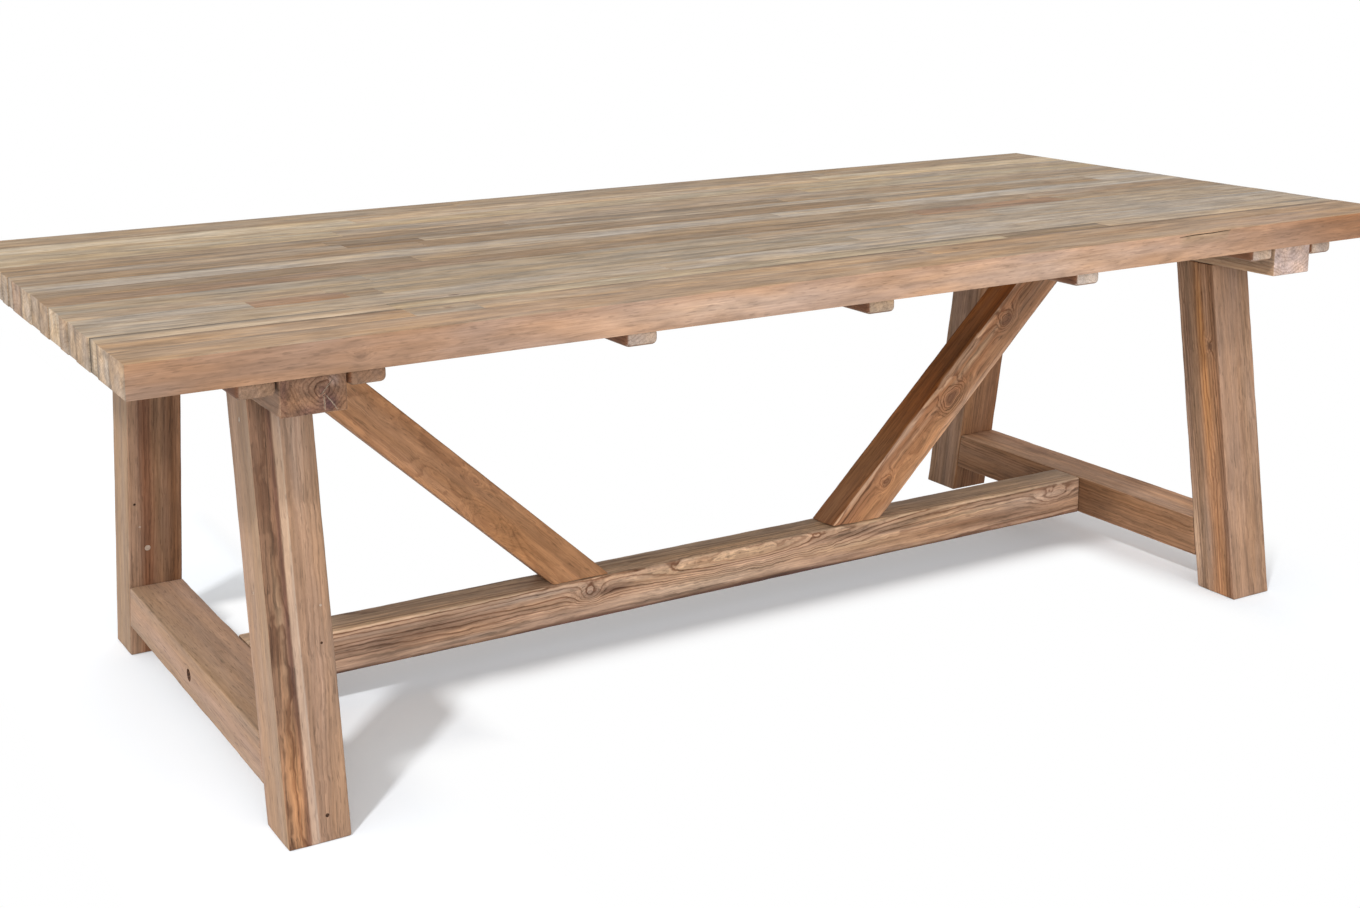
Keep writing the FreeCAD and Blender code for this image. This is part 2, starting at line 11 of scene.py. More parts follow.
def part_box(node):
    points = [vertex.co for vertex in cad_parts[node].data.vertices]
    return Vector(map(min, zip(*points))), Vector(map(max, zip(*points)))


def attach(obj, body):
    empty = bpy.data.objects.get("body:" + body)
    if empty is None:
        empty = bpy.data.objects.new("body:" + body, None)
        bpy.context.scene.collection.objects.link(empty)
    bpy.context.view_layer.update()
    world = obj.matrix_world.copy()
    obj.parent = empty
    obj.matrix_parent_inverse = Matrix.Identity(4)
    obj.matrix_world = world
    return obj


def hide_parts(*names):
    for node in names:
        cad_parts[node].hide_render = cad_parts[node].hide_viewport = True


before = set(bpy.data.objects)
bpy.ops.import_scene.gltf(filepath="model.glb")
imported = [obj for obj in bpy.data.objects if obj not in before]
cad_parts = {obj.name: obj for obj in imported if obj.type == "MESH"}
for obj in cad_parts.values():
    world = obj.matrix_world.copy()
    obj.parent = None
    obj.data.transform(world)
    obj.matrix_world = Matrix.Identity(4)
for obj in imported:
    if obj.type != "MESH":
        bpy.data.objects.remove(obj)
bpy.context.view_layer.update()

# Sawbuck table in reclaimed teak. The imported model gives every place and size; this script gives the looks.
# Lengths in the dictionaries are in millimetres, and Blender works in metres.
mm = 0.001


def toLinear(colour):
    channels = [int(colour[place:place + 2], 16) / 255 for place in (1, 3, 5)]
    return [part / 12.92 if part <= 0.04045 else ((part + 0.055) / 1.055) ** 2.4 for part in channels] + [1]


# the tones of old teak, from its dark heart to dry, bleached faces
woodTones = {
    "plum": "#4c3231", "maroon": "#5a3530", "coffee": "#6b4222", "cocoa": "#5e4137", "peat": "#6d4a31",
    "prune": "#674a3b", "rust": "#895027", "walnut": "#79523b", "otter": "#745543", "hazel": "#7c5c46",
    "chestnut": "#825e44", "bark": "#7b654f", "mud": "#83644d", "saddle": "#8d6345", "copper": "#a86631",
    "bronze": "#996a42", "clay": "#896a55", "leather": "#946e51", "bran": "#8c6f59", "bog": "#857360",
    "loam": "#89745e", "brick": "#9f6f4f", "russet": "#90735c", "dun": "#8f7a64", "cork": "#977760",
    "toffee": "#a77a57", "amber": "#b27e4e", "umber": "#95816b", "oak": "#9e8167", "taupe": "#9b8071",
    "tan": "#99846f", "sand": "#9e846b", "stone": "#958674", "tawny": "#b3835f", "mouse": "#9a8875",
    "fox": "#ae8466", "fawn": "#a5856f", "rose": "#a28970", "drift": "#a58b78", "greige": "#9e8e7c",
    "beige": "#a5937b", "ash": "#a29485", "reed": "#ae947b", "camel": "#bd9170", "blush": "#ab9781",
    "silver": "#a6998b", "biscuit": "#bb977c", "putty": "#b09a89", "oat": "#bd9e80", "straw": "#b5a289",
    "husk": "#c2a38a", "shell": "#bba295", "wheat": "#caab8f", "chalk": "#c4b1a1",
}


def toneOf(name):
    return toLinear(woodTones[name])


def perMetre(size):
    return 1 / (size * mm)    # a pattern's scale from its size in millimetres


def clearTree(owner):    # the empty node tree of a material or of the world
    owner.use_nodes = True
    owner.node_tree.nodes.clear()
    return owner.node_tree


# Adds a node to a tree. A kind without a prefix is a shader node's.
def addNodeTo(tree, kind, links=None, operation=None, **settings):
    isShader = not kind.startswith(("GeometryNode", "NodeGroup"))
    node = tree.nodes.new("ShaderNode" + kind if isShader else kind)
    if operation:
        node.operation = operation
    for name, value in settings.items():
        setattr(node, name, value)
    for key, value in (links or {}).items():
        if isinstance(value, bpy.types.Node):
            value = value.outputs[0]
        if isinstance(value, bpy.types.NodeSocket):
            tree.links.new(value, node.inputs[key])
        else:
            node.inputs[key].default_value = value
    return node


# Sawn timber: a fine-meshed block whose worn arrises, hollows and end cuts follow its sizes.
# Sizes of patterns along the grain keep their digits: timbers are shifted by up to 122 m in a pattern, so a
# rounded size would slide it.
unevenness = {"rubbed": 71.428571, "wane": 222.22222, "hollow": 200}    # how far apart uneven places lie


def makeTimberTree():
    tree = bpy.data.node_groups.new("sawnTimber", "GeometryNodeTree")
    floats = ("Arris", "Wear", "Wane", "Hollow", "Start Slope", "End Slope", "Second Cut", "Second Slope")
    for name in ("Size", "Cell", "Shift"):
        tree.interface.new_socket(name, in_out="INPUT", socket_type="NodeSocketVector")
    for name in floats:
        tree.interface.new_socket(name, in_out="INPUT", socket_type="NodeSocketFloat")
    tree.interface.new_socket("Material", in_out="INPUT", socket_type="NodeSocketMaterial")
    tree.interface.new_socket("Geometry", in_out="OUTPUT", socket_type="NodeSocketGeometry")
    addNode = partial(addNodeTo, tree)
    given = addNode("NodeGroupInput").outputs
    size = given["Size"]
    vector = "VectorMath"
    edgeCells = 2

    wanted = addNode(vector, {0: size, 1: given["Cell"]}, "DIVIDE")
    whole = addNode(vector, {0: wanted}, "CEIL")
    cells = addNode(vector, {0: whole, 1: (6, 6, 6)}, "MAXIMUM")
    corners = addNode(vector, {0: cells, 1: (1, 1, 1)}, "ADD")
    counts = addNode("SeparateXYZ", {0: corners}).outputs
    block = addNode("GeometryNodeMeshCube", {"Size": size, "Vertices X": counts[0],
                                             "Vertices Y": counts[1], "Vertices Z": counts[2]})

    # the two outer rows of cells close up to the arris, and the others share what is left
    half = addNode(vector, {0: size, "Scale": 0.5}, "SCALE")
    place = addNode("GeometryNodeInputPosition")
    fromCorner = addNode(vector, {0: place, 1: half}, "ADD")
    cell = addNode(vector, {0: size, 1: cells}, "DIVIDE")
    row = addNode(vector, {0: fromCorner, 1: cell}, "DIVIDE")
    narrow = addNode("Math", {0: given["Arris"], 1: 0.5}, "MULTIPLY")
    innerCells = addNode(vector, {0: cells, 1: (2 * edgeCells,) * 3}, "SUBTRACT")
    bothEdges = addNode("Math", {0: narrow, 1: 2.0 * edgeCells}, "MULTIPLY")
    innerSize = addNode(vector, {0: size, 1: bothEdges}, "SUBTRACT")
    wide = addNode(vector, {0: innerSize, 1: innerCells}, "DIVIDE")
    innerRow = addNode(vector, {0: row, 1: (edgeCells,) * 3}, "SUBTRACT")
    innerUp = addNode(vector, {0: innerRow, 1: (0, 0, 0)}, "MAXIMUM")
    innerPart = addNode(vector, {0: innerUp, 1: innerCells}, "MINIMUM")
    outerPart = addNode(vector, {0: row, 1: innerPart}, "SUBTRACT")
    innerRun = addNode(vector, {0: innerPart, 1: wide}, "MULTIPLY")
    outerRun = addNode(vector, {0: outerPart, "Scale": narrow}, "SCALE")
    run = addNode(vector, {0: innerRun, 1: outerRun}, "ADD")
    spread = addNode(vector, {0: run, 1: half}, "SUBTRACT")

    # arrises: every point goes to a rounded block whose radius grows where the arris is worn
    moved = addNode(vector, {0: spread, 1: given["Shift"]}, "ADD")
    rubbed = addNode("TexNoise",
                     {"Vector": moved, "Detail": 3.0, "Scale": perMetre(unevenness["rubbed"])})
    worn = addNode("MapRange",
                   {"Value": rubbed, "From Min": 0.45, "From Max": 0.8, "To Max": given["Wear"]})
    eased = addNode("Math", {0: worn, 1: given["Arris"]}, "ADD")

    # wane: the log's own rounding, left in places along the arris between -Y and +Z
    across = addNode(vector, {0: spread, 1: half}, "DIVIDE")
    sides = addNode("SeparateXYZ", {0: across}).outputs
    upper = addNode("MapRange", {"Value": sides[2], "From Min": 0.2, "From Max": 0.6})
    front = addNode("MapRange", {"Value": sides[1], "From Min": -0.2, "From Max": -0.6})
    places = addNode("SeparateXYZ", {0: moved}).outputs
    bark = addNode("TexNoise", {"W": places[0], "Detail": 2.0, "Scale": perMetre(unevenness["wane"])},
                   noise_dimensions="1D")
    left = addNode("MapRange",
                   {"Value": bark, "From Min": 0.38, "From Max": 0.62, "To Max": given["Wane"]})
    corner = addNode("Math", {0: upper, 1: front}, "MULTIPLY")
    radius = addNode("Math", {0: left, 1: corner, 2: eased}, "MULTIPLY_ADD")
    limit = addNode(vector, {0: half, 1: radius}, "SUBTRACT")
    lowLimit = addNode(vector, {0: limit, "Scale": -1.0}, "SCALE")
    below = addNode(vector, {0: spread, 1: limit}, "MINIMUM")
    core = addNode(vector, {0: below, 1: lowLimit}, "MAXIMUM")
    outward = addNode(vector, {0: spread, 1: core}, "SUBTRACT")
    direction = addNode(vector, {0: outward}, "NORMALIZE")
    uneven = addNode("TexNoise",
                     {"Vector": moved, "Detail": 2.0, "Scale": perMetre(unevenness["hollow"])})
    sunk = addNode("Math", {0: uneven, 1: given["Hollow"]}, "MULTIPLY")
    reach = addNode("Math", {0: radius, 1: sunk}, "SUBTRACT")
    skin = addNode(vector, {0: direction, "Scale": reach}, "SCALE")
    shaped = addNode(vector, {0: core, 1: skin}, "ADD")

    # end cuts: each end is a plane that leans with the depth, and the far end may have a second one
    spot = addNode("SeparateXYZ", {0: shaped}).outputs
    halves = addNode("SeparateXYZ", {0: half}).outputs
    backEnd = addNode("Math", {0: halves[0], 1: -1.0}, "MULTIPLY")
    start = addNode("Math", {0: spot[2], 1: given["Start Slope"], 2: backEnd}, "MULTIPLY_ADD")
    firstEnd = addNode("Math", {0: spot[2], 1: given["End Slope"], 2: halves[0]}, "MULTIPLY_ADD")
    secondEnd = addNode("Math", {0: spot[2], 1: given["Second Slope"], 2: given["Second Cut"]},
                        "MULTIPLY_ADD")
    end = addNode("Math", {0: firstEnd, 1: secondEnd}, "MINIMUM")
    along = addNode("MapRange", {"Value": spot[0], "From Min": backEnd, "From Max": halves[0],
                                 "To Min": start, "To Max": end}, clamp=False)
    final = addNode("CombineXYZ", {0: along, 1: spot[1], 2: spot[2]})
    placed = addNode("GeometryNodeSetPosition", {"Geometry": block, "Position": final})
    smooth = addNode("GeometryNodeSetShadeSmooth", {"Geometry": placed})
    real = addNode("GeometryNodeRealizeInstances", {"Geometry": smooth})
    dressed = addNode("GeometryNodeSetMaterial", {"Geometry": real, "Material": given["Material"]})
    addNode("NodeGroupOutput", {0: dressed})
    return tree


timberTree = makeTimberTree()
print("timber tree made")


def grow(name, tree, inputs):
    host = bpy.data.objects.new(name, bpy.data.meshes.new(name))
    bpy.context.scene.collection.objects.link(host)
    modifier = host.modifiers.new("grow", "NODES")
    modifier.node_group = tree
    for item in tree.interface.items_tree:
        if item.name in inputs:
            modifier[item.identifier] = inputs[item.name]
    depsgraph = bpy.context.evaluated_depsgraph_get()
    mesh = bpy.data.meshes.new_from_object(host.evaluated_get(depsgraph))
    mesh.materials.clear()
    mesh.materials.append(inputs["Material"])
    host.modifiers.clear()
    host.data = mesh
    return host


# Teak: an oily, ring-porous wood. Dark rings, fine fibre streaks and short open pores run with the grain.
# A swirl is a place where the rings bulge, as they do round a knot or where the log was crooked.
# Each pattern is a name with its size along and across the grain in millimetres, its detail, its roughness
# and its distortion. Real fibres and pores are under 0.3 mm wide, so theirs are drawn coarser, to show.
def fillTeak(material, looks, swirls):
    addNode = partial(addNodeTo, clearTree(material))
    grain = addNode("Attribute", attribute_name="grain").outputs["Vector"]
    stock = addNode("Attribute", attribute_name="stock").outputs
    crook = addNode("Attribute", attribute_name="crook").outputs["Fac"]
    noise = {}

    def layPatterns(names, where):
        for name in names:
            (along, across), detail, roughness, distortion = looks["patterns"][name]
            scale = (perMetre(along), perMetre(across), perMetre(across))
            fitted = addNode("Mapping", {"Vector": where, "Scale": scale})
            noise[name] = addNode("TexNoise", {"Vector": fitted, "Scale": 1.0, "Detail": detail,
                                               "Roughness": roughness, "Distortion": distortion})

    # the swirls are bent a little, so that no knot is a perfect target
    bends = addNode("TexNoise", {"Vector": grain, "Scale": perMetre(looks["bendSize"]), "Detail": 3.0})
    bend = addNode("VectorMath", {0: bends.outputs["Color"], 1: (0.5, 0.5, 0.5)}, "SUBTRACT")
    crooked = addNode("VectorMath", {0: bend, 1: (looks["bend"] * mm,) * 3, 2: grain}, "MULTIPLY_ADD")
    push, core = 0.0, 0.0
    for swirl in swirls:
        scale = Vector([1 / part for part in swirl["reach"]])
        centred = addNode("Mapping", {"Vector": crooked, "Scale": scale,
                                      "Location": -scale * Vector(swirl["centre"])})
        apart = addNode("VectorMath", {0: centred, 1: centred}, "DOT_PRODUCT")
        near = addNode("Math", {0: 1 / math.e, 1: apart.outputs["Value"]}, "POWER")
        push = addNode("Math", {0: near, 1: swirl["push"], 2: push}, "MULTIPLY_ADD")
        if swirl["knot"]:
            heart = addNode("MapRange",
                            {"Value": near, "From Min": 0.55, "From Max": 0.95, "To Max": swirl["knot"]})
            core = addNode("Math", {0: heart, 1: core}, "MAXIMUM")

    # ring number: distance from the pith, bent by slow drift along the log and by the swirls
    layPatterns(("drift", "ripple", "band", "cloud"), grain)
    fromPith = addNode("VectorMath", {0: grain, 1: (0, 1, 1)}, "MULTIPLY")
    radius = addNode("VectorMath", {0: fromPith}, "LENGTH").outputs["Value"]
    bent = addNode("Math", {0: noise["drift"], 1: looks["drift"] * mm, 2: radius}, "MULTIPLY_ADD")
    swing = addNode("Math", {0: crook, 1: looks["ripple"] * mm}, "MULTIPLY")
    aside = addNode("Math", {0: noise["ripple"], 1: swing, 2: push}, "MULTIPLY_ADD")
    rippled = addNode("Math", {0: aside, 1: bent}, "ADD")
    ring = addNode("Math", {0: rippled, 1: looks["ring"] * mm}, "DIVIDE")
    phase = addNode("Math", {0: ring}, "FRACT")
    early = addNode("MapRange", {"Value": phase, "From Min": 0.4, "From Max": 0.85},
                    interpolation_type="SMOOTHSTEP")
    late = addNode("MapRange",
                   {"Value": phase, "From Min": 0.88, "From Max": 1.0, "To Min": 1.0, "To Max": 0.0})
    line = addNode("Math", {0: early, 1: late}, "MULTIPLY")

    # a run of about three rings is strong or weak together, as the weather was in those years
    era = addNode("TexNoise", {"W": ring, "Scale": 0.31, "Detail": 2.0}, noise_dimensions="1D")
    eraDepth = addNode("MapRange", {"Value": era, "From Min": 0.35, "From Max": 0.65, "To Min": 0.1})
    figure = addNode("Math", {0: line, 1: eraDepth}, "MULTIPLY")
    depth = addNode("Math", {0: figure, 1: stock["Alpha"]}, "MULTIPLY")

    # fibres, streaks, mottle and pores give way round the swirls like the rings
    sideways = addNode("CombineXYZ", {1: aside, 2: aside})
    fibres = addNode("VectorMath", {0: grain, 1: sideways}, "ADD")
    layPatterns(("fibre", "streak", "mottle", "pore"), fibres)
    vein = addNode("MapRange", {"Value": noise["streak"], "From Min": 0.53, "From Max": 0.66,
                                "To Max": looks["streak"]})
    gleam = addNode("MapRange", {"Value": noise["streak"], "From Min": 0.47, "From Max": 0.34,
                                 "To Max": looks["gleam"]})
    veins = addNode("Math", {0: vein, 1: gleam}, "SUBTRACT")
    veined = addNode("MapRange", {"Value": stock["Alpha"], "To Min": 0.2})
    streak = addNode("Math", {0: veins, 1: veined}, "MULTIPLY")
    pore = addNode("MapRange",
                   {"Value": noise["pore"], "From Min": 0.6, "From Max": 0.7, "To Max": looks["pore"]})

    # colour: rings and knots darken the timber's own tone, and the other patterns vary it
    dark = addNode("Mix", {0: 1.0, 6: stock["Color"], 7: toLinear(looks["late"])}, data_type="RGBA",
                   blend_type="MULTIPLY")
    ringed = addNode("Mix", {0: depth, 6: stock["Color"], 7: dark.outputs[2]}, data_type="RGBA")
    knotted = addNode("Mix", {0: core, 6: ringed.outputs[2], 7: toLinear(looks["knot"])},
                      data_type="RGBA")
    swings = {}
    for name, middle in (("band", 1), ("fibre", 1), ("mottle", 0)):
        swings[name] = addNode("MapRange",
                               {"Value": noise[name], "From Min": 0.3, "From Max": 0.7,
                                "To Min": middle - looks[name], "To Max": middle + looks[name]})
    lively = addNode("Math", {0: stock["Alpha"], 1: 0.8, 2: 0.5}, "MULTIPLY_ADD")
    mottleTone = addNode("Math", {0: swings["mottle"], 1: lively, 2: 1.0}, "MULTIPLY_ADD")
    marks = addNode("Math", {0: pore, 1: streak}, "ADD")
    left = addNode("Math", {0: 1.0, 1: marks}, "SUBTRACT")
    toned = addNode("Math", {0: swings["band"], 1: swings["fibre"]}, "MULTIPLY")
    mottled = addNode("Math", {0: toned, 1: mottleTone}, "MULTIPLY")
    tone = addNode("Math", {0: mottled, 1: left}, "MULTIPLY")
    warmth = addNode("MapRange", {"Value": noise["cloud"], "From Min": 0.35, "From Max": 0.65})
    hue = addNode("Mix", {0: warmth, 6: toLinear(looks["cool"]), 7: toLinear(looks["warm"])},
                  data_type="RGBA")
    tinted = addNode("Mix", {0: 1.0, 6: knotted.outputs[2], 7: hue.outputs[2]}, data_type="RGBA",
                     blend_type="MULTIPLY")
    colour = addNode("VectorMath", {0: tinted.outputs[2], "Scale": tone}, "SCALE")

    height = addNode("Math", {0: noise["fibre"], 1: pore}, "SUBTRACT")
    bump = addNode("Bump", {"Height": height, "Strength": 0.5, "Distance": looks["relief"] * mm})
    sheen = addNode("MapRange", {"Value": noise["fibre"], "To Min": looks["roughness"] - 0.08,
                                 "To Max": looks["roughness"] + 0.08})
    shader = addNode("BsdfPrincipled", {"Base Color": colour, "Roughness": sheen, "Normal": bump,
                                        "Specular IOR Level": 0.2})
    addNode("OutputMaterial", {0: shader})


# zinc-plated steel: turned and dipped, a grey metal with a dull plating in soft patches
def makeSteel():
    material = bpy.data.materials.new("zincPlatedSteel")
    addNode = partial(addNodeTo, clearTree(material))
    place = addNode("TexCoord").outputs["Object"]
    patches = addNode("TexNoise", {"Vector": place, "Scale": perMetre(4), "Detail": 3.0})
    dull = addNode("MapRange", {"Value": patches, "To Min": 0.3, "To Max": 0.5})
    tint = addNode("Mix", {0: patches, 6: toLinear("#b9bbbd"), 7: toLinear("#8f9194")}, data_type="RGBA")
    shader = addNode("BsdfPrincipled",
                     {"Base Color": tint.outputs[2], "Metallic": 1.0, "Roughness": dull})
    addNode("OutputMaterial", {0: shader})
    return material


# what shows inside a bore or a crack: torn fibres, painted dark with the shade inside them, or packed dust;
# rough and crumbly without any gloss
def makeLining(name, dark, light):
    material = bpy.data.materials.new(name)
    addNode = partial(addNodeTo, clearTree(material))
    place = addNode("TexCoord").outputs["Object"]
    crumbs = addNode("TexNoise", {"Vector": place, "Scale": perMetre(3), "Detail": 4.0})
    spread = addNode("MapRange", {"Value": crumbs, "From Min": 0.35, "From Max": 0.65})
    tint = addNode("Mix", {0: spread, 6: toLinear(dark), 7: toLinear(light)}, data_type="RGBA")
    rough = addNode("Bump", {"Height": crumbs, "Strength": 0.5, "Distance": 0.5 * mm})
    shader = addNode("BsdfPrincipled", {"Base Color": tint.outputs[2], "Roughness": 0.8, "Normal": rough})
    addNode("OutputMaterial", {0: shader})
    return material


oiledTeak = bpy.data.materials.new("oiledTeak")
sandedTeak = bpy.data.materials.new("sandedTeak")
steel = makeSteel()
# the first lining is dark torn end grain, made darker still as painted shade inside bores, open nail holes
# and cracks
linings = (makeLining("boredTeakWithPaintedShade", "#3f2a1e", "#6b4933"),    # dark torn end grain
           makeLining("crackDust", "#8e7a6a", "#ae9a88"))    # pale sanding dust
for node in ("batten_screws", "head_beam_screws", "brace_foot_screws", "brace_head_screws",
             "stretcher_bolts", "stretcher_washers", "barrel_nuts"):
    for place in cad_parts[node].material_slots:
        place.material = steel


# Timbers. A timber's own frame has X along the grain, and Y and Z across it.
def readVertices(mesh, name):
    values = np.empty(len(mesh.vertices) * 3)
    mesh.vertices.foreach_get(name, values)
    return values.reshape(-1, 3)


def toGrain(wood, local):
    grain = np.array(local, float)
    grain[..., 0] += wood["shift"]
    grain[..., 1] -= wood["pith"][0] * mm + wood["tilt"][0] * local[..., 0]
    grain[..., 2] -= wood["pith"][1] * mm + wood["tilt"][1] * local[..., 0]
    return grain


# Every side of a timber has stops across its width, (place, tone, strength of the figure), which blend into
# each other. Patches are (along, across, half length, half width, tone, strength), in millimetres.
glueLine = {"wide": 1.0, "shade": 0.72}    # between two staves that meet end to end
squarely = 0.6    # how far a point has to face a side to belong to it, where 1 is straight


def paint(piece, toWorld, wood):
    mesh = piece.data
    count = len(mesh.vertices)
    turn = np.array(toWorld.to_3x3())
    local = (readVertices(mesh, "co") - np.array(toWorld.translation)) @ turn
    facing = readVertices(mesh, "normal") @ turn
    grain = toGrain(wood, local)
    mesh.attributes.new("grain", "FLOAT_VECTOR", "POINT").data.foreach_set("vector", grain.ravel())
    crook = np.full(count, wood["crook"])
    mesh.attributes.new("crook", "FLOAT", "POINT").data.foreach_set("value", crook)

    # the stops wander from side to side along the grain, in a long wave of 2.5 mm and a short one of 1 mm
    sway = 2.5 * np.sin(local[:, 0] * 5 + wood["shift"]) + np.sin(local[:, 0] * 13 + 2 * wood["shift"])
    sway = sway * wood["sway"] + wood["slant"] * local[:, 0] / mm
    colours = np.tile(np.array(toneOf(wood["end"])), (count, 1))
    colours[:, 3] = wood["figure"]
    for side in ("-x", "+x", "+y", "-y", "+z", "-z"):
        axis = "xyz".index(side[1])
        stops = wood.get(side, wood["all"] if axis else [(0, wood["end"])])
        chosen = facing[:, axis] * (1 if side[0] == "+" else -1) > squarely
        level = local[chosen, 0 if axis else 2] / mm
        across = local[chosen, (1, 2, 1)[axis]] / mm + (sway[chosen] if axis else 0)
        where = [stop[0] for stop in stops]
        tints = np.array([toneOf(stop[1])[:3] + [stop[2] if len(stop) > 2 else wood["figure"]]
                          for stop in stops])
        for channel in range(4):
            colours[chosen, channel] = np.interp(across, where, tints[:, channel])
        for middle, height, length, width, tone, strength in wood["patches"].get(side, []):
            away = ((level - middle) / length) ** 2 + ((across - height) / width) ** 2
            share = (strength * np.exp(-away))[:, None]
            colours[chosen, :3] += share * (np.array(toneOf(tone)[:3]) - colours[chosen, :3])
    if wood["wane"]:
        share = np.clip(np.minimum(-2 * facing[:, 1] - 0.9, facing[:, 2]) * 4 - 0.4, 0, 1)[:, None]
        colours[:, :3] += share * (np.array(toneOf(wood["wane"])[:3]) - colours[:, :3])
    if wood["seam"]:
        outer = local[:, 1].max() - glueLine["wide"] * mm
        joint = (np.abs(local[:, 1]) > outer) & (np.abs(facing[:, 0]) > squarely)
        colours[:, :3] *= np.where(joint, glueLine["shade"], 1)[:, None]
        depth = wood["seam"] * (0.6 + 0.4 * np.sin(local[:, 0] * 4 + wood["shift"]))
        edge = (local[:, 1] > outer) & (facing[:, 1] < 0.97)
        colours[:, :3] *= np.where(edge, 1 - depth, 1)[:, None]
    mesh.attributes.new("stock", "FLOAT_COLOR", "POINT").data.foreach_set("color", colours.ravel())


# Bores and cracks. A cutter is a prism between two outlines: one proud of the face, one at the bottom.
# Their sizes are in millimetres.
proud = 2
boreSides = 20
nailDepth = {"filled": 0.8, "open": 4}


def addPrism(cutter, top, bottom):
    rims = [[cutter.verts.new(point) for point in outline] for outline in (top, bottom)]
    count = len(top)
    faces = [cutter.faces.new(rims[0]), cutter.faces.new(reversed(rims[1]))]
    for here in range(count):
        after = (here + 1) % count
        faces.append(cutter.faces.new((rims[0][here], rims[1][here], rims[1][after], rims[0][after])))
    return faces


def addBore(cutter, mouth, inward, bore):
    across = inward.orthogonal().normalized()
    outlines = []
    for place, wide in ((-proud, bore["wide"]), (bore["depth"], bore.get("narrow", bore["wide"]))):
        turns = [Matrix.Rotation(math.tau * step / boreSides, 3, inward) @ across
                 for step in range(boreSides)]
        outlines.append([mouth + inward * place * mm + turn * wide / 2 * mm for turn in turns])
    return addPrism(cutter, *outlines)


def addNails(cutter, nails, toWorld, size):
    for side, along, across, wide, filled in nails:
        axis, sign = "xyz".index(side[1]), 1 if side[0] == "+" else -1
        spot = Vector((along * mm, across * mm, across * mm))
        spot[axis] = sign * size[axis] / 2
        inward = -sign * toWorld.to_3x3().col[axis]
        nail = {"wide": wide, "depth": nailDepth["filled" if filled else "open"]}
        for face in addBore(cutter, toWorld @ spot, inward, nail):
            face.material_index = int(filled)


# a crack is widest in its middle and runs out at both ends, and it narrows with the depth
def addCrack(cutter, path, inward, crack):
    along = (path[-1] - path[0]).normalized()
    over = along.cross(inward).normalized() * mm
    share = [math.sin(math.pi * (step + 0.35) / (len(path) - 0.3)) ** 0.6 for step in range(len(path))]
    outlines = []
    for place, width in ((-proud, crack["wide"] / 2), (crack["depth"], crack["wide"] / 8)):
        left = [point + inward * place * mm + over * width * part for point, part in zip(path, share)]
        right = [point + inward * place * mm - over * width * part for point, part in zip(path, share)]
        outlines.append(left + right[::-1])
    for face in addPrism(cutter, *outlines):
        face.material_index = int(crack["dusty"])


def cutAway(piece, cutter):
    bmesh.ops.recalc_face_normals(cutter, faces=cutter.faces)
    tool = bpy.data.objects.new("cutter", bpy.data.meshes.new("cutter"))
    cutter.to_mesh(tool.data)
    for lining in linings:
        tool.data.materials.append(lining)
    bpy.context.scene.collection.objects.link(tool)
    modifier = piece.modifiers.new("cut", "BOOLEAN")
    modifier.object = tool
    modifier.solver = "EXACT"
    modifier.material_mode = "TRANSFER"
    mesh = bpy.data.meshes.new_from_object(piece.evaluated_get(bpy.context.evaluated_depsgraph_get()))
    piece.modifiers.clear()
    piece.data = mesh
    mesh.set_sharp_from_angle(angle=math.radians(50))
    bpy.data.objects.remove(tool)
    cutter.free()


# The middle of each fastener's face, among those of a CAD node that lie in one plane.
inPlane = 0.05    # how far from its plane a point may lie, in mm
oneHead = 18    # points nearer to each other than this belong to one fastener, in mm


def findHeads(node, axis, at):
    heads = []
    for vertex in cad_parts[node].data.vertices:
        if abs(vertex.co[axis] - at) < inPlane * mm:
            near = [head for head in heads if (head[0] - vertex.co).length < oneHead * mm]
            if near:
                near[0].append(vertex.co.copy())
            else:
                heads.append([vertex.co.copy()])
    return [Vector([(min(p[k] for p in head) + max(p[k] for p in head)) / 2 for k in range(3)])
            for head in heads]


def addTimber(name, toWorld, size, wood, cuts=None, cutter=None):
    inputs = {"Size": [part for part in size], "Cell": [part * mm for part in wood["cell"]],
              "Shift": (wood["shift"], 0.0, 0.0), "Arris": wood["arris"] * mm, "Wear": wood["wear"] * mm,
              "Hollow": wood["hollow"] * mm, "Second Cut": 100.0, "Material": wood["material"]}
    inputs.update(cuts or {})
    piece = grow(name, timberTree, inputs)
    piece.data.transform(toWorld)
    if cutter and cutter.faces:
        cutAway(piece, cutter)
    paint(piece, toWorld, wood)
    for x, y, z, length, width, push, knot in wood["swirls"]:
        centre = toGrain(wood, np.array((x, y, z)) * mm)
        wood["finish"].append({"centre": centre, "reach": (length * mm, width * mm, width * mm),
                               "push": push * mm, "knot": knot})
    return piece


def fit(piece, node):
    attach(piece, "root")
    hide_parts(node)
    return piece


# a timber's own frame, from the middles of its ends and the direction of its Y
def makeFrame(start, end, side):
    along = (end - start).normalized()
    depth = along.cross(side).normalized()
    axes = Matrix((along, side, depth)).transposed().to_4x4()
    return Matrix.Translation((start + end) / 2) @ axes


def layBack(middle, start, end):    # the same for a timber that lies from front to back
    return makeFrame(Vector((middle.x, start, middle.z)), Vector((middle.x, end, middle.z)),
                     Vector((-1, 0, 0)))


# the lowest and highest corner of a CAD node's points in one plane
def cadSlice(node, axis, at):
    points = [v.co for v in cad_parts[node].data.vertices if abs(v.co[axis] - at) < inPlane * mm]
    return (Vector([min(p[k] for p in points) for k in range(3)]),
            Vector([max(p[k] for p in points) for k in range(3)]))


def joinStaves(name, pieces):
    if len(pieces) > 1:
        with bpy.context.temp_override(active_object=pieces[0], selected_editable_objects=pieces):
            bpy.ops.object.join()
    pieces[0].name = name
    return pieces[0]


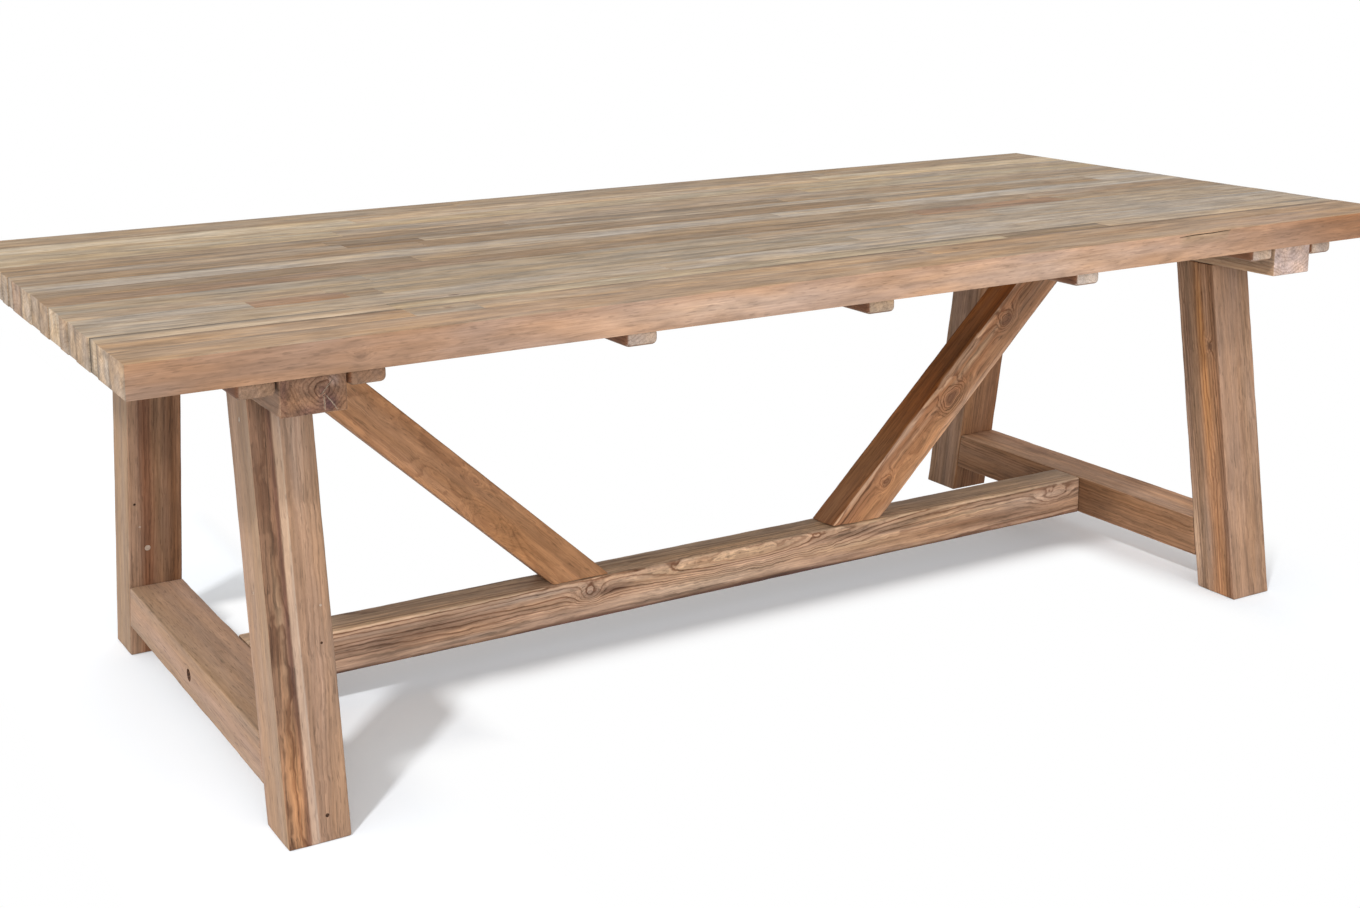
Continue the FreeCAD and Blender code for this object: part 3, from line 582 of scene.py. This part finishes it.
# What all the frame's timbers share. Pith is the log's heart across the timber, and tilt how it leans along
# it. Swirls are (x, y, z, length, width, push, darkness of the knot), in millimetres.
frameSwirls = []
frameWood = {"shift": 0.0, "pith": (70, 20), "tilt": (0.01, 0.02), "cell": (9, 4, 4), "arris": 3, "wear": 3,
             "hollow": 0.8, "wane": None, "seam": 0, "crook": 0.6, "sway": 1, "slant": 0, "figure": 0.5,
             "end": "mud", "all": [(-50, "cork"), (50, "cork")], "patches": {}, "swirls": [],
             "finish": frameSwirls, "material": oiledTeak}

# Nails are (side, along, across, width, filled): a filled one is stopped with putty, another left a hole.
legs = {
    "leg_front_left": {
        "nails": [("-y", 33, 7, 5, True), ("-y", -95, 40, 4, True), ("-y", -216, 1, 5, True),
                  ("-y", 294, -6, 9, True), ("-z", 8, 34, 4, True), ("-z", -48, 30, 4, False),
                  ("-z", -306, 14, 6, False)],
        "shift": 1.0, "pith": (-40, -85), "tilt": (0.02, -0.01), "cell": (8, 1.5, 4), "crook": 1.2,
        "sway": 0.35, "slant": 0.001,
        "-z": [(-50, "hazel", 1.2), (-30, "mud", 1.2), (-22, "otter", 1.4), (-18, "cocoa", 1.2),
               (-15.5, "prune", 1.0), (-13, "drift", 0.1), (-10, "drift", 0.15), (-5, "drift", 0.15),
               (-3, "putty", 0.1), (-1, "cork", 0.4), (2, "cork", 0.35), (50, "bran", 0.3)],
        "+y": [(0, "cork", 0.5)],
        "-y": [(-50, "oak", 0.1), (50, "fawn", 0.1)],
        "patches": {"-z": [(-250, -33, 110, 15, "toffee", 0.85), (-10, -29, 70, 5, "oak", 0.7),
                           (220, -34, 110, 14, "otter", 0.7), (270, 16, 120, 18, "drift", 0.7)]}},
    "leg_front_right": {
        "shift": 13.0, "pith": (-50, 110), "tilt": (-0.01, 0.01), "crook": 1,
        "-z": [(-50, "cork", 0.3), (10, "cork", 0.3), (35, "bran", 0.6), (50, "cork", 0.4)],
        "-y": [(-50, "clay", 0.6), (-38, "chestnut", 0.7), (-28, "toffee", 0.7), (-16, "tawny", 0.6),
               (-2, "toffee", 0.6), (10, "cork", 0.7), (26, "bran", 0.7), (36, "cork", 0.6),
               (50, "fawn", 0.5)],
        "patches": {"-y": [(40, -10, 110, 12, "amber", 0.6), (230, -6, 90, 11, "amber", 0.8),
                           (250, -22, 90, 8, "camel", 0.8), (-240, 38, 120, 12, "husk", 0.8),
                           (-230, 8, 100, 14, "drift", 0.6), (190, 30, 60, 8, "otter", 0.6)]},
        "swirls": [(168, -50, -25, 16, 9, 10, 0.8)]},
    "leg_back_left": {
        "nails": [("-z", -113, -15, 11, True), ("-z", -68, -29, 4, True), ("-z", -21, -38, 5, False)],
        # most of its front, and its other faces, are painted darker than its left face: painted shade under
        # the top
        "shift": 25.0, "pith": (60, -40), "all": [(-50, "chestnut"), (50, "walnut")],
        "-y": [(0, "oak", 0.2)],
        "-z": [(-50, "cork"), (-34, "cork"), (-22, "walnut"), (-12, "walnut"), (-2, "hazel"),
               (10, "mud"), (20, "hazel"), (34, "peat"), (44, "chestnut")]},
    "leg_back_right": {
        "shift": 37.0, "pith": (60, -20), "all": [(-50, "leather"), (50, "saddle")],
        "-y": [(-50, "cork", 0.4), (50, "bran", 0.4)]},
}
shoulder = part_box("head_beam_left")[0].z
for name, change in legs.items():
    footLow, footHigh = cadSlice(name, 2, 0)
    headLow, headHigh = cadSlice(name, 2, shoulder)
    foot = (footLow + footHigh) / 2
    head = (headLow + headHigh) / 2
    head.z = shoulder
    place = makeFrame(foot, head, Vector((1, 0, 0)))
    lean = (head.y - foot.y) / (head.z - foot.z)
    upright = 1 / math.sqrt(1 + lean * lean)
    size = ((head - foot).length, footHigh.x - footLow.x, (footHigh.y - footLow.y) * upright)
    cutter = bmesh.new()
    addNails(cutter, change.get("nails", []), place, size)
    piece = addTimber(name + "_timber", place, size, {**frameWood, **change},
                      {"Start Slope": lean, "End Slope": lean}, cutter)
    fit(piece, name)
print("legs made")

upward = Vector((0, 0, 1))
backward = Vector((0, 1, 0))

# the left beam's front end shows the log's heart, with cracks that run out from it
beamBore = {"wide": 20, "depth": 12}
beamCrack = {"wide": 3.4, "depth": 3, "dusty": True}
beams = {
    "left": {
        "shift": 50.0, "pith": (-12, 2), "tilt": (0, 0), "end": "otter",
        "all": [(-50, "bran"), (50, "clay")], "-x": [(0, "hazel", 0.8)],
        "patches": {"-x": [(-16, -22, 15, 14, "plum", 1.0), (2, -14, 9, 8, "cocoa", 0.9),
                           (-24, 10, 8, 20, "cocoa", 0.8), (10, 44, 30, 7, "cocoa", 0.8),
                           (17, -30, 8, 6, "taupe", 0.9)]},
        "swirls": [(-470, 22, 14, 60, 18, -11, 0), (-470, -24, -22, 60, 20, 14, 0),
                   (-470, 30, -30, 60, 16, 12, 0), (-470, -20, 18, 60, 14, -9, 0)],
        "cracks": [[(-30, 19), (-22, 10), (-13, 0), (-8, -3)], [(-14, -3), (-15, -12), (-15, -25)],
                   [(-16, -2), (-25, -13), (-34, -27)]]},
    "right": {"shift": 55.0, "pith": (20, 60), "end": "shell", "all": [(0, "oak")], "cracks": []},
}

# a rail's ends lean with the legs, and its outer face has the bore of the stretcher's bolt
boltBore = {"wide": 22, "depth": 30}
rails = {
    "left": {"outward": -1, "shift": 60.0, "pith": (0, -90), "figure": 0.12,
             "all": [(-50, "fawn"), (50, "oak")],
             "+y": [(-50, "oak", 0.1), (0, "fawn", 0.1), (50, "oak", 0.1)]},
    "right": {"outward": 1, "shift": 65.0, "pith": (0, -90), "figure": 0.35,
              "all": [(-50, "camel"), (50, "biscuit")], "+y": [(0, "leather", 0.5)]},
}
bolt = sum(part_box("stretcher_bolts"), Vector()) / 2
for side, beam in beams.items():
    node = f"head_beam_{side}"
    low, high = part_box(node)
    middle = (low + high) / 2
    place = layBack(middle, low.y, high.y)
    cutter = bmesh.new()
    for head in findHeads("head_beam_screws", 2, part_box("head_beam_screws")[0].z):
        if low.x < head.x < high.x:
            addBore(cutter, Vector((head.x, head.y, low.z)), upward, beamBore)
    for crack in beam["cracks"]:
        path = [Vector((middle.x - y * mm, low.y, middle.z + z * mm)) for y, z in crack]
        addCrack(cutter, path, backward, beamCrack)
    piece = addTimber(f"{node}_timber", place, (high.y - low.y, high.x - low.x, high.z - low.z),
                      {**frameWood, **beam}, cutter=cutter)
    fit(piece, node)

    rail = rails[side]
    node = f"rail_{side}"
    low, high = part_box(node)
    bottomLow, bottomHigh = cadSlice(node, 2, low.z)
    topLow, topHigh = cadSlice(node, 2, high.z)
    middle = (low + high) / 2
    start = (bottomLow.y + topLow.y) / 2
    end = (bottomHigh.y + topHigh.y) / 2
    place = layBack(middle, start, end)
    height = high.z - low.z
    lean = (topLow.y - bottomLow.y) / height
    cutter = bmesh.new()
    mouth = Vector((low.x if rail["outward"] < 0 else high.x, bolt.y, bolt.z))
    addBore(cutter, mouth, Vector((-rail["outward"], 0, 0)), boltBore)
    piece = addTimber(f"{node}_timber", place, (end - start, high.x - low.x, height),
                      {**frameWood, **rail}, {"Start Slope": lean, "End Slope": -lean}, cutter)
    fit(piece, node)

# the stretcher's crooked log shows as long loops on its front
footBore = {"wide": 20, "depth": 30}
stretcher = {
    "shift": 80.0, "pith": (40, -75), "tilt": (0.0, 0.02), "figure": 0.9, "cell": (9, 4, 2),
    "nutWide": 16.6, "all": [(0, "walnut", 0.6)],
    "+y": [(-50, "cork"), (50, "fawn")],
    "+z": [(-40, "wheat", 0.6), (-20, "oat", 0.6), (40, "reed", 0.6)],
    # the front darkens to maroon and cocoa along its bottom edge, below -34 mm: painted shade under the lower
    # arris
    "-y": [(-50, "maroon"), (-36.5, "cocoa"), (-34, "clay"), (-31, "fawn"), (-24, "biscuit"),
           (34, "biscuit"), (37, "wheat")],
    "patches": {"-y": [
        (-640, 4, 260, 26, "clay", 0.8), (-244, 8, 46, 8, "prune", 0.9),
        (-289, 10, 13, 13, "drift", 0.9), (620, -8, 230, 10, "hazel", 0.95),
        (300, 20, 90, 6, "mud", 0.9), (420, 14, 90, 6, "mud", 0.8), (-20, -16, 170, 14, "wheat", 0.9),
        (30, 27, 150, 12, "wheat", 0.8), (300, -22, 80, 6, "fawn", 0.8),
        (300, -2, 120, 8, "wheat", 0.8), (500, 24, 160, 9, "oak", 0.6), (-120, 22, 90, 7, "wheat", 0.7),
        (-420, 28, 110, 6, "putty", 0.8), (780, 18, 140, 9, "husk", 0.9),
        (840, -22, 120, 6, "clay", 0.8), (-700, 24, 120, 5, "drift", 0.8),
        (-560, -22, 140, 5, "drift", 0.8), (620, 14, 100, 6, "oat", 0.7)]},
    "swirls": [(-289, -38, 10, 30, 17, 26, 0.25), (80, -38, 17, 270, 26, 34, 0),
               (870, -38, 10, 60, 18, 18, 0)]}
low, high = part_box("stretcher")
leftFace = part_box("rail_left")[1].x
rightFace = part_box("rail_right")[0].x
middle = (low + high) / 2
place = makeFrame(Vector((leftFace, 0, middle.z)), Vector((rightFace, 0, middle.z)), backward)
cutter = bmesh.new()
for head in findHeads("brace_foot_screws", 2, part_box("brace_foot_screws")[0].z):
    addBore(cutter, Vector((head.x, head.y, low.z)), upward, footBore)
nutLow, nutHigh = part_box("barrel_nuts")
nutBore = {"wide": stretcher["nutWide"], "depth": (nutHigh.z - low.z) / mm}
for nut in findHeads("barrel_nuts", 2, nutLow.z):
    addBore(cutter, Vector((nut.x, nut.y, low.z)), upward, nutBore)
piece = addTimber("stretcher_timber", place, (rightFace - leftFace, high.y - low.y, high.z - low.z),
                  {**frameWood, **stretcher}, cutter=cutter)
fit(piece, "stretcher")

# the screws at a brace's head are driven from its inner side, and their bores start before the head
braceBore = {"wide": 14, "depth": 50, "before": 46}
braces = {
    "left": {
        "outward": -1, "shift": 90.0, "pith": (-90, 30), "figure": 0.32, "crook": 1, "bark": 0,
        "all": [(0, "toffee")],
        "patches": {"+y": [(-250, 0, 160, 60, "bronze", 0.6), (-170, -24, 34, 10, "saddle", 0.5),
                           (-70, 16, 60, 10, "saddle", 0.4), (60, -28, 120, 8, "tawny", 0.7),
                           (30, 26, 140, 10, "saddle", 0.5)]},
        "swirls": [(-105, 35, 22, 22, 13, 18, 0.15), (-175, 35, -22, 60, 26, 30, 0),
                   (-30, 35, -12, 50, 18, 16, 0), (120, 35, 14, 60, 16, 14, 0)]},
    "right": {
        "outward": 1, "shift": 95.0, "pith": (60, -30), "figure": 1.1, "crook": 0.7, "bark": 15,
        "wane": "biscuit", "all": [(0, "brick")],
        "-y": [(-45, "camel", 0.8), (-36, "camel", 0.8), (-28, "tawny", 0.9), (-16, "toffee", 0.9),
               (8, "brick", 0.9), (30, "brick", 0.9), (40, "fox", 0.9)],
        "+z": [(-35, "rust", 0.5), (35, "copper", 0.5)],
        "patches": {"-y": [(-190, 14, 90, 5, "biscuit", 0.8), (-20, -18, 100, 5, "chestnut", 0.7),
                           (40, 18, 90, 6, "oat", 0.8), (210, -8, 90, 6, "biscuit", 0.7),
                           (260, 16, 80, 5, "chestnut", 0.7), (-290, 6, 120, 40, "tawny", 0.5),
                           # the wide chestnut patch high up the front, 215 mm along, is painted shade from
                           # the top above
                           (215, -10, 140, 50, "chestnut", 0.9), (-20, -34, 90, 6, "biscuit", 0.9)],
                    "+z": [(-280, 0, 110, 60, "bronze", 0.8), (20, 0, 120, 60, "coffee", 0.8),
                           (150, 8, 110, 12, "saddle", 0.4), (-420, 0, 110, 40, "leather", 0.8)]},
        "swirls": [(-298, -35, 1, 22, 15, 26, 0.6), (-70, -35, -4, 38, 22, 50, 0.8),
                   (137, -35, 6, 26, 17, 34, 0.7), (-200, -35, -14, 50, 16, 14, 0)]},
}
stretcherTop = high.z
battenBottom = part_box("batten_middle")[0].z
for side, brace in braces.items():
    node = f"brace_{side}"
    outward = brace["outward"]
    low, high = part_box(node)
    footLow, footHigh = cadSlice(node, 2, stretcherTop)
    toe = max(abs(footLow.x), abs(footHigh.x))
    heel = min(abs(footLow.x), abs(footHigh.x))
    beamLow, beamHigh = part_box(f"head_beam_{side}")
    beamFace = min(abs(beamLow.x), abs(beamHigh.x))
    run, rise = beamFace - toe, beamLow.z - stretcherTop
    cos, sin = run / math.hypot(run, rise), rise / math.hypot(run, rise)
    deep = (toe - heel) * sin
    start = Vector(((toe + heel) / 2 * outward, 0, stretcherTop))
    long = (battenBottom - stretcherTop) / sin
    end = start + Vector((cos * outward, 0, sin)) * long
    place = makeFrame(start, end, Vector((0, outward, 0)))
    cuts = {"Start Slope": -cos / sin, "End Slope": -cos / sin,
            "Second Cut": (beamFace - abs(start.x)) / cos - long / 2, "Second Slope": sin / cos,
            "Wane": brace["bark"] * mm}
    screws = [v.co.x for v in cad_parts["brace_head_screws"].data.vertices if v.co.x * outward > 0]
    before = Vector((outward * braceBore["before"] * mm, 0, 0))
    cutter = bmesh.new()
    for head in findHeads("brace_head_screws", 0, min(screws, key=abs)):
        addBore(cutter, head - before, Vector((outward, 0, 0)), braceBore)
    piece = addTimber(f"{node}_timber", place, (long, high.y - low.y, deep), {**frameWood, **brace}, cuts,
                      cutter)
    fit(piece, node)

# planed and oiled teak: a strong figure, a dull sheen and lighter gleams along the grain
fillTeak(oiledTeak, {
    "patterns": {"drift": ((666.66667, 76.92), 6, 0.5, 0), "ripple": ((45.454545, 71.43), 3, 0.5, 0),
                 "band": ((625, 23.81), 4, 0.5, 0.4), "cloud": ((333.33333, 38.46), 3, 0.5, 0),
                 "fibre": ((111.11111, 1.923), 3, 0.6, 0), "streak": ((285.71429, 5.882), 3, 0.5, 0.7),
                 "mottle": ((111.11111, 16.67), 5, 0.62, 0.5), "pore": ((26.315789, 2.381), 1, 0.5, 0)},
    "ring": 7, "drift": 46, "ripple": 8, "bend": 16, "bendSize": 31.25, "relief": 0.12,
    "band": 0.14, "fibre": 0.14, "mottle": 0.22, "streak": 0.38, "gleam": 0.22, "pore": 0.28,
    "roughness": 0.7, "late": "#937461", "knot": "#6b4a38", "warm": "#fffaf0", "cool": "#f6f9ff"},
    frameSwirls)
print("frame made")

# The top: boards glued from staves, each from its own log. Staves are (tone, X of the right end).
topStaves = [
    [("umber", -300), ("umber", 620), ("umber", None)],
    [("straw", -560), ("blush", 560), ("straw", None)],
    [("beige", -200), ("beige", 700), ("greige", None)],
    [("beige", -640), ("mouse", 420), ("beige", None)],
    [("dun", -320), ("mouse", None)],
    [("dun", -700), ("bog", 300), ("umber", None)],
    [("mouse", -680), ("bark", -530), ("greige", 1080), ("greige", None)],
    [("dun", -550), ("loam", 460), ("umber", 1080), ("silver", None)],
    [("ash", 180), ("silver", None)],
    [("loam", -620), ("umber", 760), ("tan", None)],
    [("loam", 420), ("russet", 800), ("umber", None)],
    [("stone", -760), ("stone", -20), ("mouse", 560), ("greige", None)],
    [("mouse", -860), ("stone", 300), ("greige", None)],
    [("greige", -993), ("russet", -840), ("bog", -784), ("stone", 140), ("ash", None)],
    [("greige", -300), ("ash", None)],
    [("blush", -815), ("beige", 380), ("bog", 633), ("blush", None)],
    [("sand", -810), ("mouse", -700), ("rose", 160), ("sand", None)],
    [("sand", None)],
]
endTones = ("umber", "beige", "tan", "blush", "mouse", "blush", "greige", "russet", "blush", "umber", "dun",
            "straw", "rose", "mouse", "umber", "straw", "blush", "rose")
seams = {9: 0.5, 16: 0.8, 17: 0.7}    # how dark the joint behind a board is, where it shows most
boardMarks = {    # by board and stave: shades on its top, and knots
    (11, 0): {"patches": {"+z": [(-500, 0, 380, 60, "bran", 0.6)]}},
    (15, 0): {"swirls": [(83, -30, 25, 12, 8, 8, 0.7)], "patches": {"+z": [(40, -30, 80, 7, "bran", 0.6)]}},
    (17, 1): {"swirls": [(10, 0, 25, 14, 9, 8, 0.7)]},
    (17, 2): {"swirls": [(415, -8, 25, 12, 8, 8, 0.8)],
              "patches": {"+z": [(360, -8, 60, 6, "clay", 0.6)]}},
    (17, 3): {"swirls": [(-485, -4, 25, 12, 8, 8, 0.7)],
              "patches": {"+z": [(20, -24, 360, 5, "clay", 0.7)]}},
    (18, 0): {"swirls": [(-932, -40, -2, 14, 9, 8, 0.6)], "figure": 0.3, "-y": [(0, "fawn", 0.1)],
              "patches": {"-y": [(-1080, 0, 420, 60, "clay", 1.0), (1150, 0, 260, 60, "saddle", 1.0),
                                 (-330, 0, 200, 14, "putty", 0.5), (330, -6, 260, 12, "putty", 0.5)],
                          "+z": [(950, 0, 160, 60, "drift", 0.8), (-700, 0, 200, 40, "drift", 0.5)]}},
}
edgeCrack = {"wide": 2.2, "depth": 6, "dusty": False,
             "path": [(661, 20), (700, 21.5), (745, 21.5), (793, 23)]}    # X, and height from the middle
sandedEnds = {side: [(0, 0, 400, 400, "putty", 0.4)] for side in ("-x", "+x")}
topSwirls = []
topWood = {"cell": (24, 8, 10), "arris": 0.5, "wear": 0.4, "hollow": 0.35, "wane": None, "crook": 1,
           "sway": 1, "slant": 0, "figure": 0.4, "swirls": [], "finish": topSwirls, "material": sandedTeak}
chance = random.Random(11)
for number, staves in enumerate(topStaves, start=1):
    node = f"top_board_{number:02d}"
    low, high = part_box(node)
    ends = [low.x] + [end * mm for tone, end in staves[:-1]] + [high.x]
    pieces = []
    for place, (tone, end) in enumerate(staves):
        start, stop = ends[place:place + 2]
        middle = Vector(((start + stop) / 2, (low.y + high.y) / 2, (low.z + high.z) / 2))
        marks = boardMarks.get((number, place), {})
        wood = {**topWood, "shift": chance.uniform(0, 40), "end": endTones[number - 1], "all": [(0, tone)],
                "pith": (chance.uniform(-90, 90), chance.choice((-1, 1)) * chance.uniform(30, 120)),
                "tilt": (chance.uniform(-0.02, 0.02), chance.uniform(-0.03, 0.03)),
                "seam": seams.get(number, chance.uniform(0.05, 0.3)), **marks,
                "patches": {**sandedEnds, **marks.get("patches", {})}}
        cutter = bmesh.new()
        if number == len(topStaves):
            path = [Vector((x * mm, low.y, middle.z + z * mm)) for x, z in edgeCrack["path"]]
            addCrack(cutter, path, backward, edgeCrack)
        pieces.append(addTimber(f"{node}_{place}", Matrix.Translation(middle),
                                (stop - start, high.y - low.y, high.z - low.z), wood, cutter=cutter))
    fit(joinStaves(f"{node}_staves", pieces), node)

# sanded, dry teak: matt and even, with its pores open and its figure worn down
fillTeak(sandedTeak, {
    "patterns": {"drift": ((625, 71.43), 6, 0.55, 0), "ripple": ((62.5, 83.33), 3, 0.5, 0),
                 "band": ((285.71429, 22.22), 4, 0.5, 0.4), "cloud": ((250, 41.67), 3, 0.5, 0),
                 "fibre": ((111.11111, 1.923), 3, 0.6, 0), "streak": ((166.66667, 6.667), 3, 0.5, 0.5),
                 "mottle": ((100, 16.67), 5, 0.62, 0.5), "pore": ((22.222222, 3.03), 1, 0.5, 0)},
    "ring": 6, "drift": 30, "ripple": 4, "bend": 8, "bendSize": 25, "relief": 0.12,
    "band": 0.08, "fibre": 0.14, "mottle": 0.42, "streak": 0.14, "gleam": 0.08, "pore": 0.2,
    "roughness": 0.72, "late": "#bba48f", "knot": "#6d5444", "warm": "#fff6e6", "cool": "#f4f9ff"},
    topSwirls)
print("top made")

# the battens' ends are each of another log, and the two left ones are also painted darker with the shade from
# the top above them; their countersunk screws come up from below
battenEnds = {"left_outer": "bran", "left_inner": "clay", "mid_left": "putty", "middle": "reed",
              "mid_right": "chalk", "right_inner": "putty", "right_outer": "putty"}
battenBore = {"wide": 14, "narrow": 5.4, "depth": 3}
battenWood = {**frameWood, "arris": 9, "wear": 1, "hollow": 0.3, "figure": 0.35, "all": [(0, "bran")],
              "+y": [(0, "walnut")]}
screwHeads = findHeads("batten_screws", 2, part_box("batten_screws")[0].z)
for number, (name, end) in enumerate(battenEnds.items()):
    node = f"batten_{name}"
    low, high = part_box(node)
    middle = (low + high) / 2
    place = layBack(middle, low.y, high.y)
    wood = {**battenWood, "shift": 110.0 + 2 * number, "pith": (-70 + 20 * number, -40), "end": end}
    cutter = bmesh.new()
    for head in screwHeads:
        if low.x < head.x < high.x:
            addBore(cutter, head, upward, battenBore)
    piece = addTimber(f"{node}_timber", place, (high.y - low.y, high.x - low.x, high.z - low.z), wood,
                      cutter=cutter)
    fit(piece, node)
print("battens made")

# A white sweep under soft studio light. Seen by the camera, the floor fades to a white glow round the table.
# Near the table a share of that glow, the lift, lightens the floor's shadow as painted light, and the paper's
# blue tint offsets the warm light that the wood throws onto it. Each entry below is a place where the glow
# covers the floor's shadow,
# as painted light: along each axis, it begins at the first number and is full at the second, in metres. A
# second ramp on the same axis has a minus sign before its name.
studio = {"floor": 30, "paper": "#f4f9fe", "ambient": 0.87, "lift": 0.09, "near": 1.5, "far": 3.5}
glowOverShadows = [
    {"x": (1.0, 1.35)},
    {"x": (-1.13, -1.3)},
    {"x": (-0.76, -0.64), "y": (0.25, 0.4)},
    {"x": (-0.86, -0.8), "y": (0.1, 0.2), "-y": (0.6, 0.53)},
    {"x": (-0.66, -0.57), "-x": (0.98, 0.86), "y": (0.0, -0.14)},
    {"x": (-0.85, -0.72), "-x": (0.98, 0.86), "y": (-0.22, -0.34)},
]


def seeDirectly(addNode):    # 1 where the camera, a mirror or glass sees the surface, and 0 for its light
    seen = addNode("LightPath").outputs
    direct = addNode("Math", {0: seen["Is Camera Ray"], 1: seen["Is Glossy Ray"]}, "MAXIMUM")
    return addNode("Math", {0: direct, 1: seen["Is Transmission Ray"]}, "MAXIMUM")


bpy.ops.mesh.primitive_plane_add(size=studio["floor"])
floor = bpy.context.object
floor.name = "floor"
# matt paper without any gloss; for the camera it is mixed with a white glow, which near the table is painted
# light over its shadow
paper = bpy.data.materials.new("whitePaperWithPaintedGlow")    # matt paper, without any gloss
addNode = partial(addNodeTo, clearTree(paper))
sweep = addNode("TexCoord").outputs["Object"]
distance = addNode("VectorMath", {0: sweep}, "LENGTH").outputs["Value"]
white = addNode("MapRange", {"Value": distance, "From Min": studio["near"], "From Max": studio["far"],
                             "To Min": studio["lift"]}, interpolation_type="SMOOTHSTEP")
spot = addNode("SeparateXYZ", {0: sweep}).outputs
for glowOverShadow in glowOverShadows:
    inside = 1.0
    for axis, (none, full) in glowOverShadow.items():
        ramp = addNode("MapRange", {"Value": spot["xyz".index(axis[-1])], "From Min": none,
                                    "From Max": full}, interpolation_type="SMOOTHSTEP")
        inside = addNode("Math", {0: inside, 1: ramp}, "MULTIPLY")
    white = addNode("Math", {0: white, 1: inside}, "MAXIMUM")
fade = addNode("Math", {0: white, 1: seeDirectly(addNode)}, "MULTIPLY")
matt = addNode("BsdfDiffuse", {"Color": toLinear(studio["paper"])})
glow = addNode("Emission", {"Color": (1, 1, 1, 1)})
blend = addNode("MixShader", {0: fade, 1: matt, 2: glow})
addNode("OutputMaterial", {0: blend})
floor.data.materials.append(paper)

scene = bpy.context.scene
scene.view_settings.view_transform = "Standard"
world = bpy.data.worlds.new("studio")
scene.world = world
addNode = partial(addNodeTo, clearTree(world))
strength = addNode("MapRange", {"Value": seeDirectly(addNode), "To Min": studio["ambient"]})
sky = addNode("Background", {"Color": (1, 1, 1, 1), "Strength": strength})
addNode("OutputWorld", {0: sky})

lamps = {    # metres and watts
    "keySoftBox": {"place": (-6.8, -5.1, 7.7), "size": (0.7, 0.7), "power": 690},
    "frontSoftBox": {"place": (-2.5, -10.0, 2.6), "size": (6.0, 3.0), "power": 375},
}
target = Vector((0, 0, 0.4))
for name, lamp in lamps.items():
    light = bpy.data.lights.new(name, "AREA")
    light.shape = "RECTANGLE"
    light.size, light.size_y = lamp["size"]
    light.energy = lamp["power"]
    holder = bpy.data.objects.new(name, light)
    scene.collection.objects.link(holder)
    holder.location = lamp["place"]
    holder.rotation_euler = (target - holder.location).to_track_quat("-Z", "Y").to_euler()
print("studio made")

view = {"place": (-1844.4, -2865.2, 1328.8), "yaw": 30.06, "pitch": 10.94, "roll": -0.37, "lens": 48.04,
        "film": 36, "shift": (0.0396, -0.1262)}
camera = bpy.data.objects.new("camera", bpy.data.cameras.new("camera"))
scene.collection.objects.link(camera)
yaw, pitch, roll = (math.radians(view[name]) for name in ("yaw", "pitch", "roll"))
forward = Vector((math.sin(yaw) * math.cos(pitch), math.cos(yaw) * math.cos(pitch), -math.sin(pitch)))
right = Vector((math.cos(yaw), -math.sin(yaw), 0))
level = Matrix((right, right.cross(forward), -forward)).transposed()
camera.matrix_world = (Matrix.Translation(Vector(view["place"]) * mm)
                       @ (level @ Matrix.Rotation(roll, 3, "Z")).to_4x4())
camera.data.lens = view["lens"]
camera.data.sensor_width = view["film"]
camera.data.shift_x, camera.data.shift_y = view["shift"]
scene.camera = camera
